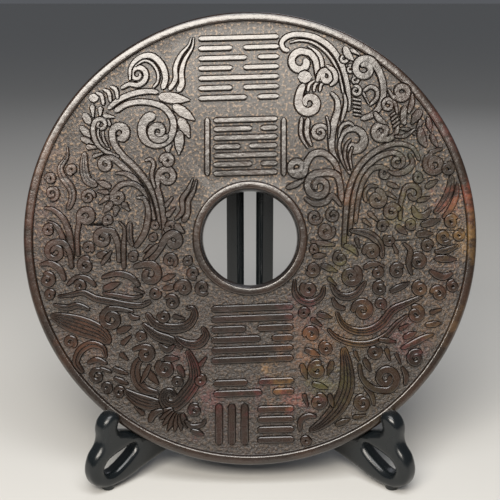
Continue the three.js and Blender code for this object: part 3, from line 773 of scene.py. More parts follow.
        self.curl(97.5, -21.5, 4.4, 30, 1.3, (1.2, 1.6, 0.9))
        self.band([(101.5, -3), (106, -8), (104.8, -16), (107, -24)], (0.6, 1.7, 0.8))
        self.band([(122, -9), (130, -8), (137.5, -4.5)], (0.6, 2.0, 0.8), ribs=1)
        self.leaf(122, -13, 136.5, -14, 2.4)
        self.band([(118.5, -21.5), (127, -25.5), (134, -23)], (0.7, 2.2, 0.8))
        self.leaf(97.5, -10, 94.5, -3.8, 1.6)
        self.curl(112.6, -33, 4.6, 90, 1.35, (1.2, 1.6, 0.9))
        self.curl(109.5, -50, 5.2, 120, -1.4, (1.3, 1.7, 0.9))
        self.leaf(119, -49.5, 126.5, -47, 1.9)
        self.curl(124.5, -36.5, 4.6, 180, -1.3, (1.2, 1.6, 0.9))
        self.leaf(116, -57.5, 127, -56, 2.0)
        self.leaf(44.5, -50, 54, -52.5, 1.8)
        self.leaf(40.5, -53, 47.5, -58, 2.1)
        self.band([(100, -73), (108, -69.3), (116, -65.2), (121.5, -63.5)], (0.8, 2.0, 0.7))
        self.leaf(101.5, -66, 110, -62, 2.0)
        self.curl(109.6, -79.3, 5.2, 40, 1.4, (1.3, 1.7, 0.9))
        self.leaf(98.5, -60.5, 105, -57, 1.7)

    def right_bottom(self) -> None:
        """Broad tail and scrolls."""
        self.band(
            [(61.8, -72), (64, -86), (63.8, -99), (58, -112), (48.5, -122), (39.5, -127.5)],
            (1.6, 5.0, 1.4), ribs=3,
        )
        self.curl(50.5, -72.5, 4.0, 90, 1.3, (1.2, 1.5, 0.9))
        self.curl(40.5, -63.5, 4.6, 200, -1.3, (1.3, 1.7, 0.9))
        self.leaf(36.5, -73.5, 46, -77.5, 2.2)
        self.curl(44.5, -87, 5.4, 60, 1.4, (1.5, 1.8, 1.0))
        self.leaf(54.5, -81, 51.5, -90.5, 1.9)
        self.leaf(34, -83, 37.5, -93, 2.0)
        self.leaf(41, -96, 51.5, -99.3, 2.1)
        self.curl(45.3, -108, 4.9, 100, -1.4, (1.3, 1.7, 0.9))
        self.band([(33, -127.5), (33.6, -120.5), (38.5, -117.3), (44, -118)], (0.8, 1.7, 0.8))
        self.leaf(35.5, -103, 38.3, -111, 1.8)
        self.leaf(52.5, -103, 54.8, -111.5, 1.8)
        self.curl(74.6, -109, 5.0, 90, 1.4, (1.3, 1.6, 0.9))
        self.band([(75.5, -98), (80.5, -103.5), (82, -110.5)], (0.7, 1.5, 0.7))
        self.band(
            [(72.3, -83), (74, -92), (80, -98.6)],
            (0.9, 2.2, 1.6), curl=(90, -92.6, 8.2, -100, 1.4),
        )
        self.curl(82.3, -75, 4.2, 40, -1.3, (1.2, 1.5, 0.9))
        self.leaf(75.5, -79.5, 79.8, -88, 1.9)
        self.leaf(90, -72.5, 92.5, -80.5, 1.9)
        self.leaf(85, -66.8, 96.5, -68.5, 1.6)
        self.band([(100.5, -85), (103.3, -91), (102.5, -97)], (0.7, 1.6, 0.7))
        self.leaf(69, -74.5, 72, -81, 1.5)
        self.leaf(68, -118.5, 76.5, -117, 1.7)
        self.leaf(56.5, -123.5, 66, -119.5, 1.9)
        self.leaf(96.5, -76, 99.5, -83, 1.5)

    def inscription(self) -> None:
        """Adds four blocks of rows and bars down the middle of the disc."""
        whole, left, right = [(0, 1)], [(0, 0.42), (0.56, 1)], [(0, 0.6), (0.74, 1)]
        self.strokes(-7.5, 113, (53, 46), 7, 1.7, 0.03, [whole, left, right, left])
        self.strokes(-3, 61, (42, 41), 7, 1.7, 0.03, [whole, right, whole, left])
        self.bars([-28.2, 22.3], 79.5, 41.5, 1.7)
        self.strokes(1.5, -63, (54, 41), 6, 2.0, 0.04, [whole, whole, left, right])
        self.strokes(2.5, -98.5, (53, 14), 2, 2.0, 0.04, [left, right])
        self.bars([-20.5, -12, -3.5], -109.5, -136.5, 2.2)
        self.strokes(17, -123, (24, 27), 4, 2.0, 0.03, [whole, whole])

    def all(self) -> list[Ribbon]:
        """Lays out the whole face.

        Returns:
            Every ribbon, the lower ones first.
        """
        for part in (
            self.left_upper,
            self.left_middle,
            self.left_lower,
            self.left_bottom,
            self.right_upper,
            self.right_middle,
            self.right_lower,
            self.right_bottom,
        ):
            part()
        self.fill([(-31, 30, -86, -40), (-27, 32, -140, -88), (-37, 22, 88, 138), (-31, 25, 39, 82)])
        self.inscription()
        return self.ribbons


# ---------------------------------------------------------------------------------------------
# Solids and booleans
# ---------------------------------------------------------------------------------------------


class Cut(Enum):
    """The two boolean operations used here."""

    JOIN = "UNION"
    REMOVE = "DIFFERENCE"


def combine(base: bpy.types.Mesh, tool: bpy.types.Mesh, cut: Cut) -> bpy.types.Mesh:
    """Joins base with tool, or cuts it by tool.

    Args:
        base: A closed mesh.
        tool: Another.
        cut: Which of the two to do.

    Returns:
        The new mesh.
    """
    shelf = bpy.context.scene.collection.objects
    body = bpy.data.objects.new("body", base)
    other = bpy.data.objects.new("other", tool)
    shelf.link(body)
    shelf.link(other)
    step = body.modifiers.new("step", "BOOLEAN")
    step.operation = cut.value
    step.solver = "MANIFOLD"
    step.object = other
    made = bpy.data.meshes.new_from_object(body.evaluated_get(bpy.context.evaluated_depsgraph_get()))
    bpy.data.objects.remove(body)
    bpy.data.objects.remove(other)
    return made


def spun(profile: list[Point], steps: int, name: str) -> bpy.types.Mesh:
    """Spins a closed profile about the Z axis.

    Args:
        profile: Its (radius, height) points.
        steps: Steps of the full turn.
        name: The mesh's name.

    Returns:
        The turned mesh.
    """
    work = bmesh.new()
    ring = [work.verts.new((r, 0, z)) for r, z in profile]
    edges = [work.edges.new((a, b)) for a, b in zip(ring, ring[1:] + ring[:1])]
    bmesh.ops.spin(
        work, geom=ring + edges, cent=(0, 0, 0), axis=(0, 0, 1), dvec=(0, 0, 0), angle=math.tau, steps=steps,
        use_merge=True,
    )
    bmesh.ops.remove_doubles(work, verts=work.verts, dist=1e-4)
    bmesh.ops.recalc_face_normals(work, faces=work.faces)
    mesh = bpy.data.meshes.new(name)
    work.to_mesh(mesh)
    work.free()
    return mesh


def rounded(corners: list[tuple[float, float, float]], steps: int = 3) -> list[Point]:
    """Rounds a closed profile.

    Args:
        corners: Its corners, as (x, y, radius).
        steps: Steps of each arc.

    Returns:
        The rounded profile's points.
    """
    found: list[Point] = []
    before, after = [corners[-1], *corners], [*corners[1:], corners[0]]
    for (ax, ay, _), (x, y, radius), (bx, by, _) in zip(before, corners, after):
        here = Vector((x, y))
        if radius <= 0:
            found.append((x, y))
            continue
        start = here + (Vector((ax, ay)) - here).normalized() * radius
        end = here + (Vector((bx, by)) - here).normalized() * radius
        for k in range(steps + 1):
            t = k / steps
            point = start * (1 - t) ** 2 + here * 2 * t * (1 - t) + end * t**2
            found.append((point.x, point.y))
    return found


def dress(
    mesh: bpy.types.Mesh, name: str, pose: Matrix, finish: bpy.types.Material, smooth_below: float
) -> bpy.types.Object:
    """Makes a finished mesh a piece of the scene.

    Args:
        mesh: The mesh, in its own millimetres.
        name: The piece's name.
        pose: From those millimetres to the row frame's metres.
        finish: Its material.
        smooth_below: Edges sharper than this many degrees stay sharp.

    Returns:
        An object at the origin whose mesh is set in the row frame.
    """
    mesh.transform(pose)
    mesh.name = name
    mesh.polygons.foreach_set("use_smooth", [True] * len(mesh.polygons))
    mesh.set_sharp_from_angle(angle=math.radians(smooth_below))
    mesh.materials.clear()
    mesh.materials.append(finish)
    made = bpy.data.objects.new(name, mesh)
    bpy.context.scene.collection.objects.link(made)
    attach(made, "root")
    return made


# ---------------------------------------------------------------------------------------------
# Disc
# ---------------------------------------------------------------------------------------------


@dataclass(frozen=True)
class Relief:
    """Lays ribbons on the disc one layer at a time, each cut clear of the ones below it.

    Attributes:
        top: Height of the ribbons' tops over the border's face, below zero as it is sunk.
        root: Height at which the ribbons are rooted in the ground.
        ground: Height of the ground.
        edge_run: Width of the rounded edge of a top.
        edge_drop: Height of that edge.
        draft: How much wider a ribbon is at its root.
        moat: Width of the groove cut round a ribbon.
        moat_floor: Height of that groove's floor.
        moat_foot: Width of its floor's outer side from the ribbon.
        clear: How far a cutter reaches past a ribbon's ends, and over the border's face.
        spare: Ground left between the grooves of two ribbons in one layer.
        groove_spread: Share of the half-width that the grooves along a ribbon spread over.
        groove_half: Half-width of such a groove, and at its ends.
        groove_height: Heights of its mouth and its floor.
        groove_foot: Width of its floor, as a share of its mouth's.
    """

    top: float = -0.2
    root: float = -3.4
    ground: float = -2.0
    edge_run: float = 0.52
    edge_drop: float = 0.32
    draft: float = 0.3
    moat: float = 0.7
    moat_floor: float = -2.75
    moat_foot: float = 0.08
    clear: float = 0.6
    spare: float = 0.4
    groove_spread: float = 0.95
    groove_half: Point = (0.55, 0.2)
    groove_height: Point = (0.25, -1.25)
    groove_foot: float = 0.1

    @staticmethod
    def strip(
        points: np.ndarray, normals: np.ndarray, half: np.ndarray, section: list[tuple[float, float, float]]
    ) -> Strip:
        """Sweeps a symmetric section, which widens and narrows, along a line.

        Args:
            points: The line's stations.
            normals: Unit normals at the stations.
            half: Half-width at each station.
            section: Corners of the section's right side from top to bottom, as (share of the
                half-width, added width, height).

        Returns:
            The strip's corners and its faces, closed at both ends.
        """
        rings = []
        for side in (1, -1):
            for share, added, height in section if side > 0 else section[::-1]:
                reach = side * np.maximum(half * share + added, half * 0.3 + 0.02)
                flat = points + normals * reach[:, None]
                rings.append(np.column_stack([flat, np.full(len(flat), height)]))
        corners = np.stack(rings, 1)
        count, size = corners.shape[:2]
        faces = [
            (i * size + k, i * size + (k + 1) % size, (i + 1) * size + (k + 1) % size, (i + 1) * size + k)
            for i in range(count - 1)
            for k in range(size)
        ]
        faces.append(tuple(range(size))[::-1])
        faces.append(tuple((count - 1) * size + k for k in range(size)))
        return corners.reshape(-1, 3), faces

    @staticmethod
    def joined(parts: list[Strip], name: str) -> bpy.types.Mesh:
        """Joins strips into one mesh whose faces point out.

        Args:
            parts: The strips.
            name: The mesh's name.

        Returns:
            The mesh.
        """
        corners, faces, base = [], [], 0
        for own, loops in parts:
            corners.extend(own.tolist())
            faces.extend(tuple(base + k for k in loop) for loop in loops)
            base += len(own)
        mesh = bpy.data.meshes.new(name)
        mesh.from_pydata(corners, [], faces)
        work = bmesh.new()
        work.from_mesh(mesh)
        bmesh.ops.recalc_face_normals(work, faces=work.faces)
        work.to_mesh(mesh)
        work.free()
        return mesh

    def layers(self, lines: list[tuple[np.ndarray, np.ndarray, np.ndarray]]) -> list[list[int]]:
        """Sorts the ribbons into layers.

        Args:
            lines: Each ribbon's stations, normals and half-widths.

        Returns:
            The ribbons' numbers in each layer. No layer holds two that meet.
        """
        level: list[int] = []
        for i, (points, _, half) in enumerate(lines):
            low, high = points.min(0) - 10, points.max(0) + 10
            mine = 0
            for j in range(i):
                other, _, reach = lines[j]
                if level[j] < mine or (other.max(0) < low).any() or (other.min(0) > high).any():
                    continue
                if self.gap(lines[i], lines[j]) < 2 * self.moat + self.spare:
                    mine = level[j] + 1
            level.append(mine)
        return [[i for i, own in enumerate(level) if own == k] for k in range(max(level) + 1)]

    @staticmethod
    def gap(one: tuple[np.ndarray, ...], two: tuple[np.ndarray, ...]) -> float:
        """Measures how near two ribbons come.

        Args:
            one: Stations, normals and half-widths of a ribbon.
            two: Those of another.

        Returns:
            The least distance between their sides.
        """
        found = []
        for (points, _, half), (other, _, reach) in ((one, two), (two, one)):
            start, step = other[:-1], np.diff(other, axis=0)
            away = points[:, None] - start[None]
            share = np.clip((away * step).sum(2) / np.maximum((step**2).sum(1), 1e-9), 0, 1)
            near = np.linalg.norm(away - share[..., None] * step[None], axis=2)
            found.append((near - half[:, None] - np.maximum(reach[:-1], reach[1:])[None]).min())
        return float(min(found))

    def body(self, line: tuple[np.ndarray, np.ndarray, np.ndarray]) -> Strip:
        """Makes the raised strip of a ribbon.

        Args:
            line: Its stations, normals and half-widths.

        Returns:
            The strip.
        """
        points, normals, half = line
        run = np.minimum(self.edge_run, half * 0.5)
        section = [
            (1.0, -1.0, self.top),
            (1.0, 0.0, self.top - self.edge_drop),
            (1.0, self.draft, self.root),
        ]
        corners, faces = self.strip(points, normals, half, section)
        rings = corners.reshape(len(points), 2 * len(section), 3)
        rings[:, 0, :2] = points + normals * (half - run)[:, None]
        rings[:, -1, :2] = points - normals * (half - run)[:, None]
        return rings.reshape(-1, 3), faces

    def clearing(self, line: tuple[np.ndarray, np.ndarray, np.ndarray]) -> Strip:
        """Makes the cutter that clears a ribbon's surroundings and grooves the ground round it.

        Args:
            line: The ribbon's stations, normals and half-widths.

        Returns:
            The cutter.
        """
        points, normals, half = line
        points = points.copy()
        along = np.stack([normals[:, 1], -normals[:, 0]], 1)
        points[0] -= along[0] * self.clear
        points[-1] += along[-1] * self.clear
        section = [
            (1.0, self.moat, self.clear),
            (1.0, self.moat, self.ground + 0.1),
            (1.0, self.moat_foot, self.moat_floor),
        ]
        return self.strip(points, normals, half, section)

    def grooves(self, line: tuple[np.ndarray, np.ndarray, np.ndarray], ribs: int) -> list[Strip]:
        """Makes the cutters for the grooves along a ribbon.

        Args:
            line: The ribbon's stations, normals and half-widths.
            ribs: How many grooves.

        Returns:
            The cutters. A ribbon too short for them has none.
        """
        points, normals, half = line
        (wide, fine), (mouth, floor) = self.groove_half, self.groove_height
        found = []
        for k in range(ribs):
            share = (2 * (k + 1) / (ribs + 1) - 1) * self.groove_spread
            keep = slice(2, -2)
            path = (points + normals * (half * share)[:, None])[keep]
            if len(path) < 4:
                continue
            width = np.full(len(path), wide)
            width[0] = width[-1] = fine
            section = [(1.0, 0.0, mouth), (self.groove_foot, 0.0, floor)]
            found.append(self.strip(path, normals[keep], width, section))
        return found

    def carve(self, blank: bpy.types.Mesh, ribbons: list[Ribbon]) -> bpy.types.Mesh:
        """Carves the face.

        Args:
            blank: The plain disc.
            ribbons: The ribbons, the lower ones first.

        Returns:
            The disc with every ribbon on it.
        """
        lines = [ribbon.line() for ribbon in ribbons]
        mesh = blank
        for number, layer in enumerate(self.layers(lines)):
            mesh = combine(mesh, self.joined([self.clearing(lines[i]) for i in layer], "moats"), Cut.REMOVE)
            mesh = combine(mesh, self.joined([self.body(lines[i]) for i in layer], "ribbons"), Cut.JOIN)
            cutters = [groove for i in layer for groove in self.grooves(lines[i], ribbons[i].ribs)]
            if cutters:
                mesh = combine(mesh, self.joined(cutters, "grooves"), Cut.REMOVE)
            LOG.info("layer %d: %d ribbons, %d faces", number, len(layer), len(mesh.polygons))
        return mesh


@dataclass(frozen=True)
class JadeDisc:
    """The carved disc, in millimetres in its own frame: x right, y up the face, z out of it.

    Attributes:
        radius: Outer radius.
        thickness: Thickness at the border.
        hole_radius: Radius of the hole at its mouths.
        waist_radius: Radius of the hole halfway through.
        collar_radius: Outer radius of the raised collar round the hole.
        border_radius: Inner radius of the raised border.
        field: Depth of the carved field.
        back_field: Depth of the plain field at the back.
        front_edge: Radius at which the solid's front edge starts to be cut back.
        centre_height: Height of the centre of the face above the table.
        lean: Angle by which it leans back.
        steps: Steps of the turned form.
    """

    radius: float = 149.95
    thickness: float = 19.98
    hole_radius: float = 33.0
    waist_radius: float = 30.8
    collar_radius: float = 37.5
    border_radius: float = 144.2
    field: float = 2.0
    back_field: float = 1.6
    front_edge: float = 148.8
    centre_height: float = 161.5
    lean: float = math.radians(14)
    steps: int = 180

    def pose(self) -> Matrix:
        """Places the disc.

        Returns:
            The matrix from the disc's own millimetres to the row frame's metres.
        """
        low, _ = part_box("bi_disc")
        centre_y = low.y + self.front_edge * MM * math.sin(self.lean)
        turn = Matrix.Rotation(math.pi / 2 - self.lean, 4, "X")
        return Matrix.Translation((0, centre_y, self.centre_height * MM)) @ turn @ Matrix.Scale(MM, 4)

    def blank(self) -> bpy.types.Mesh:
        """Turns the disc before it is carved.

        Returns:
            The disc with its border, collar and hole.
        """
        back = -self.thickness
        # Each corner of the section: radius, height, and how far it is rounded.
        corners = [
            (self.collar_radius, 0, 0.7),
            (self.collar_radius + 0.7, -self.field, 0.3),
            (self.border_radius - 0.8, -self.field, 0.3),
            (self.border_radius, 0, 0.8),
            (self.radius - 1.2, 0, 1.0),
            (self.radius, -1.6, 1.0),
            (self.radius, back + 1.6, 1.0),
            (self.radius - 1.2, back, 1.0),
            (self.border_radius, back, 0.45),
            (self.border_radius - 0.7, back + self.back_field, 0.3),
            (self.collar_radius + 0.7, back + self.back_field, 0.3),
            (self.collar_radius, back, 0.45),
            (self.hole_radius, back, 0.9),
            (self.waist_radius, back / 2, 5.5),
            (self.hole_radius, 0, 0.9),
        ]
        return spun(rounded(corners), self.steps, "disc_blank")

    def build(self, carving: Carving, finish: bpy.types.Material) -> bpy.types.Object:
        """Builds the carved disc in the place of its solid.

        Args:
            carving: The carving on its face.
            finish: Its material.

        Returns:
            The piece.
        """
        mesh = Relief().carve(self.blank(), carving.all())
        made = dress(mesh, "carved_disc", self.pose(), finish, 30)
        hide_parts("bi_disc")
        return made


# ---------------------------------------------------------------------------------------------
# Stand
# ---------------------------------------------------------------------------------------------


@dataclass(frozen=True)
class StandLeaf:
    """One of the two leaves that cross behind the disc.

    Its own frame is in millimetres: x outwards from the crossing, y up, z across its thickness.

    Attributes:
        side: -1 for the left leaf, 1 for the right one.
        thickness: Thickness of the moulding.
        edge: Radius of its rounded edges.
        shrink: How far the outline is drawn in from the solid's.
        turn: Angle between the leaf and the line from front to back.
        crossing: How far behind the disc's face the leaves cross.
        upright: Middle of the upright that the disc's back rests on.
        upright_width: Width of the upright.
        upright_foot: Height at which the upright leaves the leaf.
        lap: Height of the half-lap joint.
        upright_edge: Radius of the upright's edges.
        solid_bevel: Bevel of the solid's upright, which meets the disc.
        notch: Height of the cutter for the half-lap joint.
        pad_radius: Radius of the feet's pads.
        pad_height: Height of the pads, most of which is inside the leaf.
        pads: Where the pads are.
        gap: Clearance to the other leaf and to the disc.
        outline: Points that the leaf's outline runs through.
        slot: Points that its slot's outline runs through.
    """

    side: int
    thickness: float = 13.0
    edge: float = 4.6
    shrink: float = 0.2
    turn: float = math.radians(45)
    crossing: float = 57.3
    upright: float = 14.7
    upright_width: float = 6.0
    upright_foot: float = 62.0
    lap: float = 54.0
    upright_edge: float = 1.3
    solid_bevel: float = 1.2
    notch: float = 100.0
    pad_radius: float = 4.4
    pad_height: float = 7.0
    pads: tuple[float, float] = (133.0, -90.0)
    gap: float = 0.25
    outline: tuple[Point, ...] = (
        (136, 2.4), (141.5, 4.6), (146.2, 8), (148.7, 14), (148.5, 20.5), (145.8, 27.5), (141, 33),
        (139.4, 38), (139.6, 43.5), (137.8, 49), (133.6, 53), (128.6, 54), (124.8, 51.6), (124, 47.5),
        (126, 43.8),
        (125, 39.8), (120.5, 38), (113, 35.4), (104, 31.2), (94, 31.4), (75, 38), (50, 48.5), (30, 62),
        (19, 79), (9, 80), (0, 75), (-14, 65), (-40, 47), (-66, 30), (-83, 18), (-93.3, 12), (-96.9, 7),
        (-93.4, 2.8), (-86, 2.4), (-78, 8), (-58, 20), (-32, 29), (0, 33), (30, 32), (58, 26), (75, 18),
        (84.5, 12.8), (96, 10), (107, 7), (116.5, 4), (126, 2.4),
    )  # fmt: skip
    slot: tuple[Point, ...] = (
        (136.5, 13.5), (130, 13.1), (121, 17.4), (114.5, 22), (112.3, 25.2), (115.6, 26.6), (124.5, 25),
        (134, 21.8), (137.8, 17.5),
    )  # fmt: skip

    @staticmethod
    def loop(knots: tuple[Point, ...], step: float) -> list[Point]:
        """Draws a closed smooth line.

        Args:
            knots: The points that it runs through.
            step: About how far apart its points are.

        Returns:
            The line's points.
        """
        turned = [np.array(p, float) for p in [*knots[-3:], *knots, *knots[:3]]]
        dense = smooth(turned, 0.2)
        away = np.linalg.norm(dense - np.array(knots[0]), axis=1)
        third = len(dense) // 3
        dense = dense[int(away[:third].argmin()) : int(away[-third:].argmin()) + len(dense) - third]
        run = np.concatenate([[0], np.cumsum(np.linalg.norm(np.diff(dense, axis=0), axis=1))])
        stops = np.linspace(0, run[-1], round(run[-1] / step), endpoint=False)
        return [(float(np.interp(s, run, dense[:, 0])), float(np.interp(s, run, dense[:, 1]))) for s in stops]

    def plate(self) -> bpy.types.Mesh:
        """Makes the leaf's plate.

        Returns:
            The plate, with its slot and its rounded edges.
        """
        curve = bpy.data.curves.new("plate", "CURVE")
        curve.dimensions = "2D"
        curve.fill_mode = "BOTH"
        curve.extrude = self.thickness / 2 - self.edge
        curve.bevel_depth = self.edge
        curve.bevel_resolution = 4
        curve.offset = -self.edge - self.shrink
        for points in (self.loop(self.outline, 2.2), self.loop(self.slot, 1.6)):
            spline = curve.splines.new("POLY")
            spline.points.add(len(points) - 1)
            for dot, (x, y) in zip(spline.points, points):
                dot.co = (x, y, 0, 1)
            spline.use_cyclic_u = True
        holder = bpy.data.objects.new("plate", curve)
        bpy.context.scene.collection.objects.link(holder)
        mesh = bpy.data.meshes.new_from_object(holder.evaluated_get(bpy.context.evaluated_depsgraph_get()))
        bpy.data.objects.remove(holder)
        work = bmesh.new()
        work.from_mesh(mesh)
        bmesh.ops.remove_doubles(work, verts=work.verts, dist=0.02)
        bmesh.ops.recalc_face_normals(work, faces=work.faces)
        work.to_mesh(mesh)
        work.free()
        return mesh

    @staticmethod
    def block(
        size: tuple[float, float, float], centre: tuple[float, float, float], bevel: float
    ) -> bpy.types.Mesh:
        """Makes a block.

        Args:
            size: Its three sides.
            centre: Its centre.
            bevel: Radius of its edges, or 0.

        Returns:
            The block's mesh.
        """
        work = bmesh.new()
        shape = Matrix.Translation(centre) @ Matrix.Diagonal((*size, 1))
        bmesh.ops.create_cube(work, size=1, matrix=shape)
        if bevel > 0:
            bmesh.ops.bevel(
                work, geom=work.edges, offset=bevel, offset_type="OFFSET", segments=4, profile=0.5,
                affect="EDGES", clamp_overlap=True, material=-1,
            )
        mesh = bpy.data.meshes.new("block")
        work.to_mesh(mesh)
        work.free()
        return mesh

    def pose(self, disc: JadeDisc) -> Matrix:
        """Places the leaf.

        Args:
            disc: The disc that rests in it.

        Returns:
            The matrix from the leaf's own millimetres to the row frame's metres.
        """
        behind = disc.pose().translation.y + self.crossing * MM
        turn = Matrix.Rotation(self.side * self.turn - math.pi / 2, 4, "Z")
        stand = Matrix.Rotation(math.pi / 2, 4, "X")
        return Matrix.Translation((0, behind, 0)) @ turn @ stand @ Matrix.Scale(MM, 4)

    def upright_top(self, disc: JadeDisc) -> float:
        """Finds how tall the upright is.

        Args:
            disc: The disc that it holds.

        Returns:
            The height at which it meets the back of the disc.
        """
        corner = self.upright + self.upright_width / 2 + self.thickness / 2 - self.solid_bevel
        reach = corner * math.cos(self.turn)
        back = disc.thickness - disc.back_field + self.gap
        rise = ((self.crossing - reach) * math.cos(disc.lean) - back) / math.sin(disc.lean)
        return disc.centre_height + rise

    def clearance(self, disc: JadeDisc) -> bpy.types.Mesh:
        """Makes the cutter that keeps the leaf clear of the disc.

        Args:
            disc: The disc.

        Returns:
            The space that the disc needs, in the leaf's own frame.
        """
        inner, outer = disc.hole_radius - 4, disc.radius + self.gap
        low, high = -disc.thickness - self.gap, self.gap
        space = spun([(inner, high), (outer, high), (outer, low), (inner, low)], disc.steps, "space")
        space.transform(self.pose(disc).inverted() @ disc.pose())
        return space

    def build(self, disc: JadeDisc, finish: bpy.types.Material) -> bpy.types.Object:
        """Builds the leaf in the place of its solid.

        Args:
            disc: The disc that rests in it.
            finish: Its material.

        Returns:
            The piece.
        """
        mesh = self.plate()
        tall = self.upright_top(disc) - self.upright_foot
        middle = (self.upright, self.upright_foot + tall / 2, 0)
        upright = (self.upright_width, tall, self.thickness - 0.2)
        mesh = combine(mesh, self.block(upright, middle, self.upright_edge), Cut.JOIN)
        radius, height = self.pad_radius, self.pad_height
        foot = rounded([(0, 0, 0), (radius, 0, 1.2), (radius, height, 0.8), (0, height, 0)])
        for at in self.pads:
            pad = spun(foot, 40, "pad")
            pad.transform(Matrix.Translation((at, 0, 0)) @ Matrix.Rotation(-math.pi / 2, 4, "X"))
            mesh = combine(mesh, pad, Cut.JOIN)
        centre = self.lap - self.side * (self.notch / 2 - self.gap / 2)
        notch = (self.thickness + 2 * self.gap, self.notch, self.thickness + 4)
        mesh = combine(mesh, self.block(notch, (0, centre, 0), 0), Cut.REMOVE)
        mesh = combine(mesh, self.clearance(disc), Cut.REMOVE)
        name = "left" if self.side < 0 else "right"
        made = dress(mesh, f"moulded_leaf_{name}", self.pose(disc), finish, 40)
        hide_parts(f"stand_leaf_{name}")
        return made


# ---------------------------------------------------------------------------------------------
# Finishes
# ---------------------------------------------------------------------------------------------


SMOOTH = {"interpolation_type": "SMOOTHSTEP"}
TINT = {"data_type": "RGBA"}


def linear(code: str) -> tuple[float, float, float, float]:
    """Turns an sRGB colour into a linear one.

    Args:
        code: The colour, as six hex digits.

    Returns:
        Linear red, green, blue and an alpha of 1.
    """
    parts = [int(code[i : i + 2], 16) / 255 for i in (0, 2, 4)]
    r, g, b = (c / 12.92 if c <= 0.04045 else ((c + 0.055) / 1.055) ** 2.4 for c in parts)
    return r, g, b, 1.0


def add(
    tree: bpy.types.NodeTree,
    kind: str,
    inputs: dict[int | str, object],
    out: int | str = 0,
    **settings: object,
) -> bpy.types.NodeSocket:
    """Adds one node.

    Args:
        tree: The node tree.
        kind: The node's type.
        inputs: For each input, a value or the output that feeds it.
        out: Which output is wanted.
        **settings: The node's properties.

    Returns:
        The wanted output.
    """
    node = tree.nodes.new(kind)
    for name, value in settings.items():
        setattr(node, name, value)
    for key, value in inputs.items():
        socket = node.inputs[key]
        if isinstance(value, bpy.types.NodeSocket):
            tree.links.new(value, socket)
        else:
            socket.default_value = value
    return node.outputs[out]


def fresh(name: str) -> tuple[bpy.types.Material, bpy.types.NodeTree, bpy.types.Node]:
    """Starts a material.

    Args:
        name: Its name.

    Returns:
        The material, its node tree and its shader.
    """
    material = bpy.data.materials.new(name)
    material.use_nodes = True
    return material, material.node_tree, material.node_tree.nodes["Principled BSDF"]


@dataclass(frozen=True)
class StainAndSheenPatch:
    """A stain in the stone; two pale ones at the upper left are partly a painted sheen.

    Attributes:
        x: Centre on the face, in millimetres.
        y: Centre on the face, in millimetres.
        radius: Where it has faded out, in millimetres.
        colour: Its colour.
        strength: How much of it shows at its centre.
    """

    x: float
    y: float
    radius: float
    colour: str
    strength: float


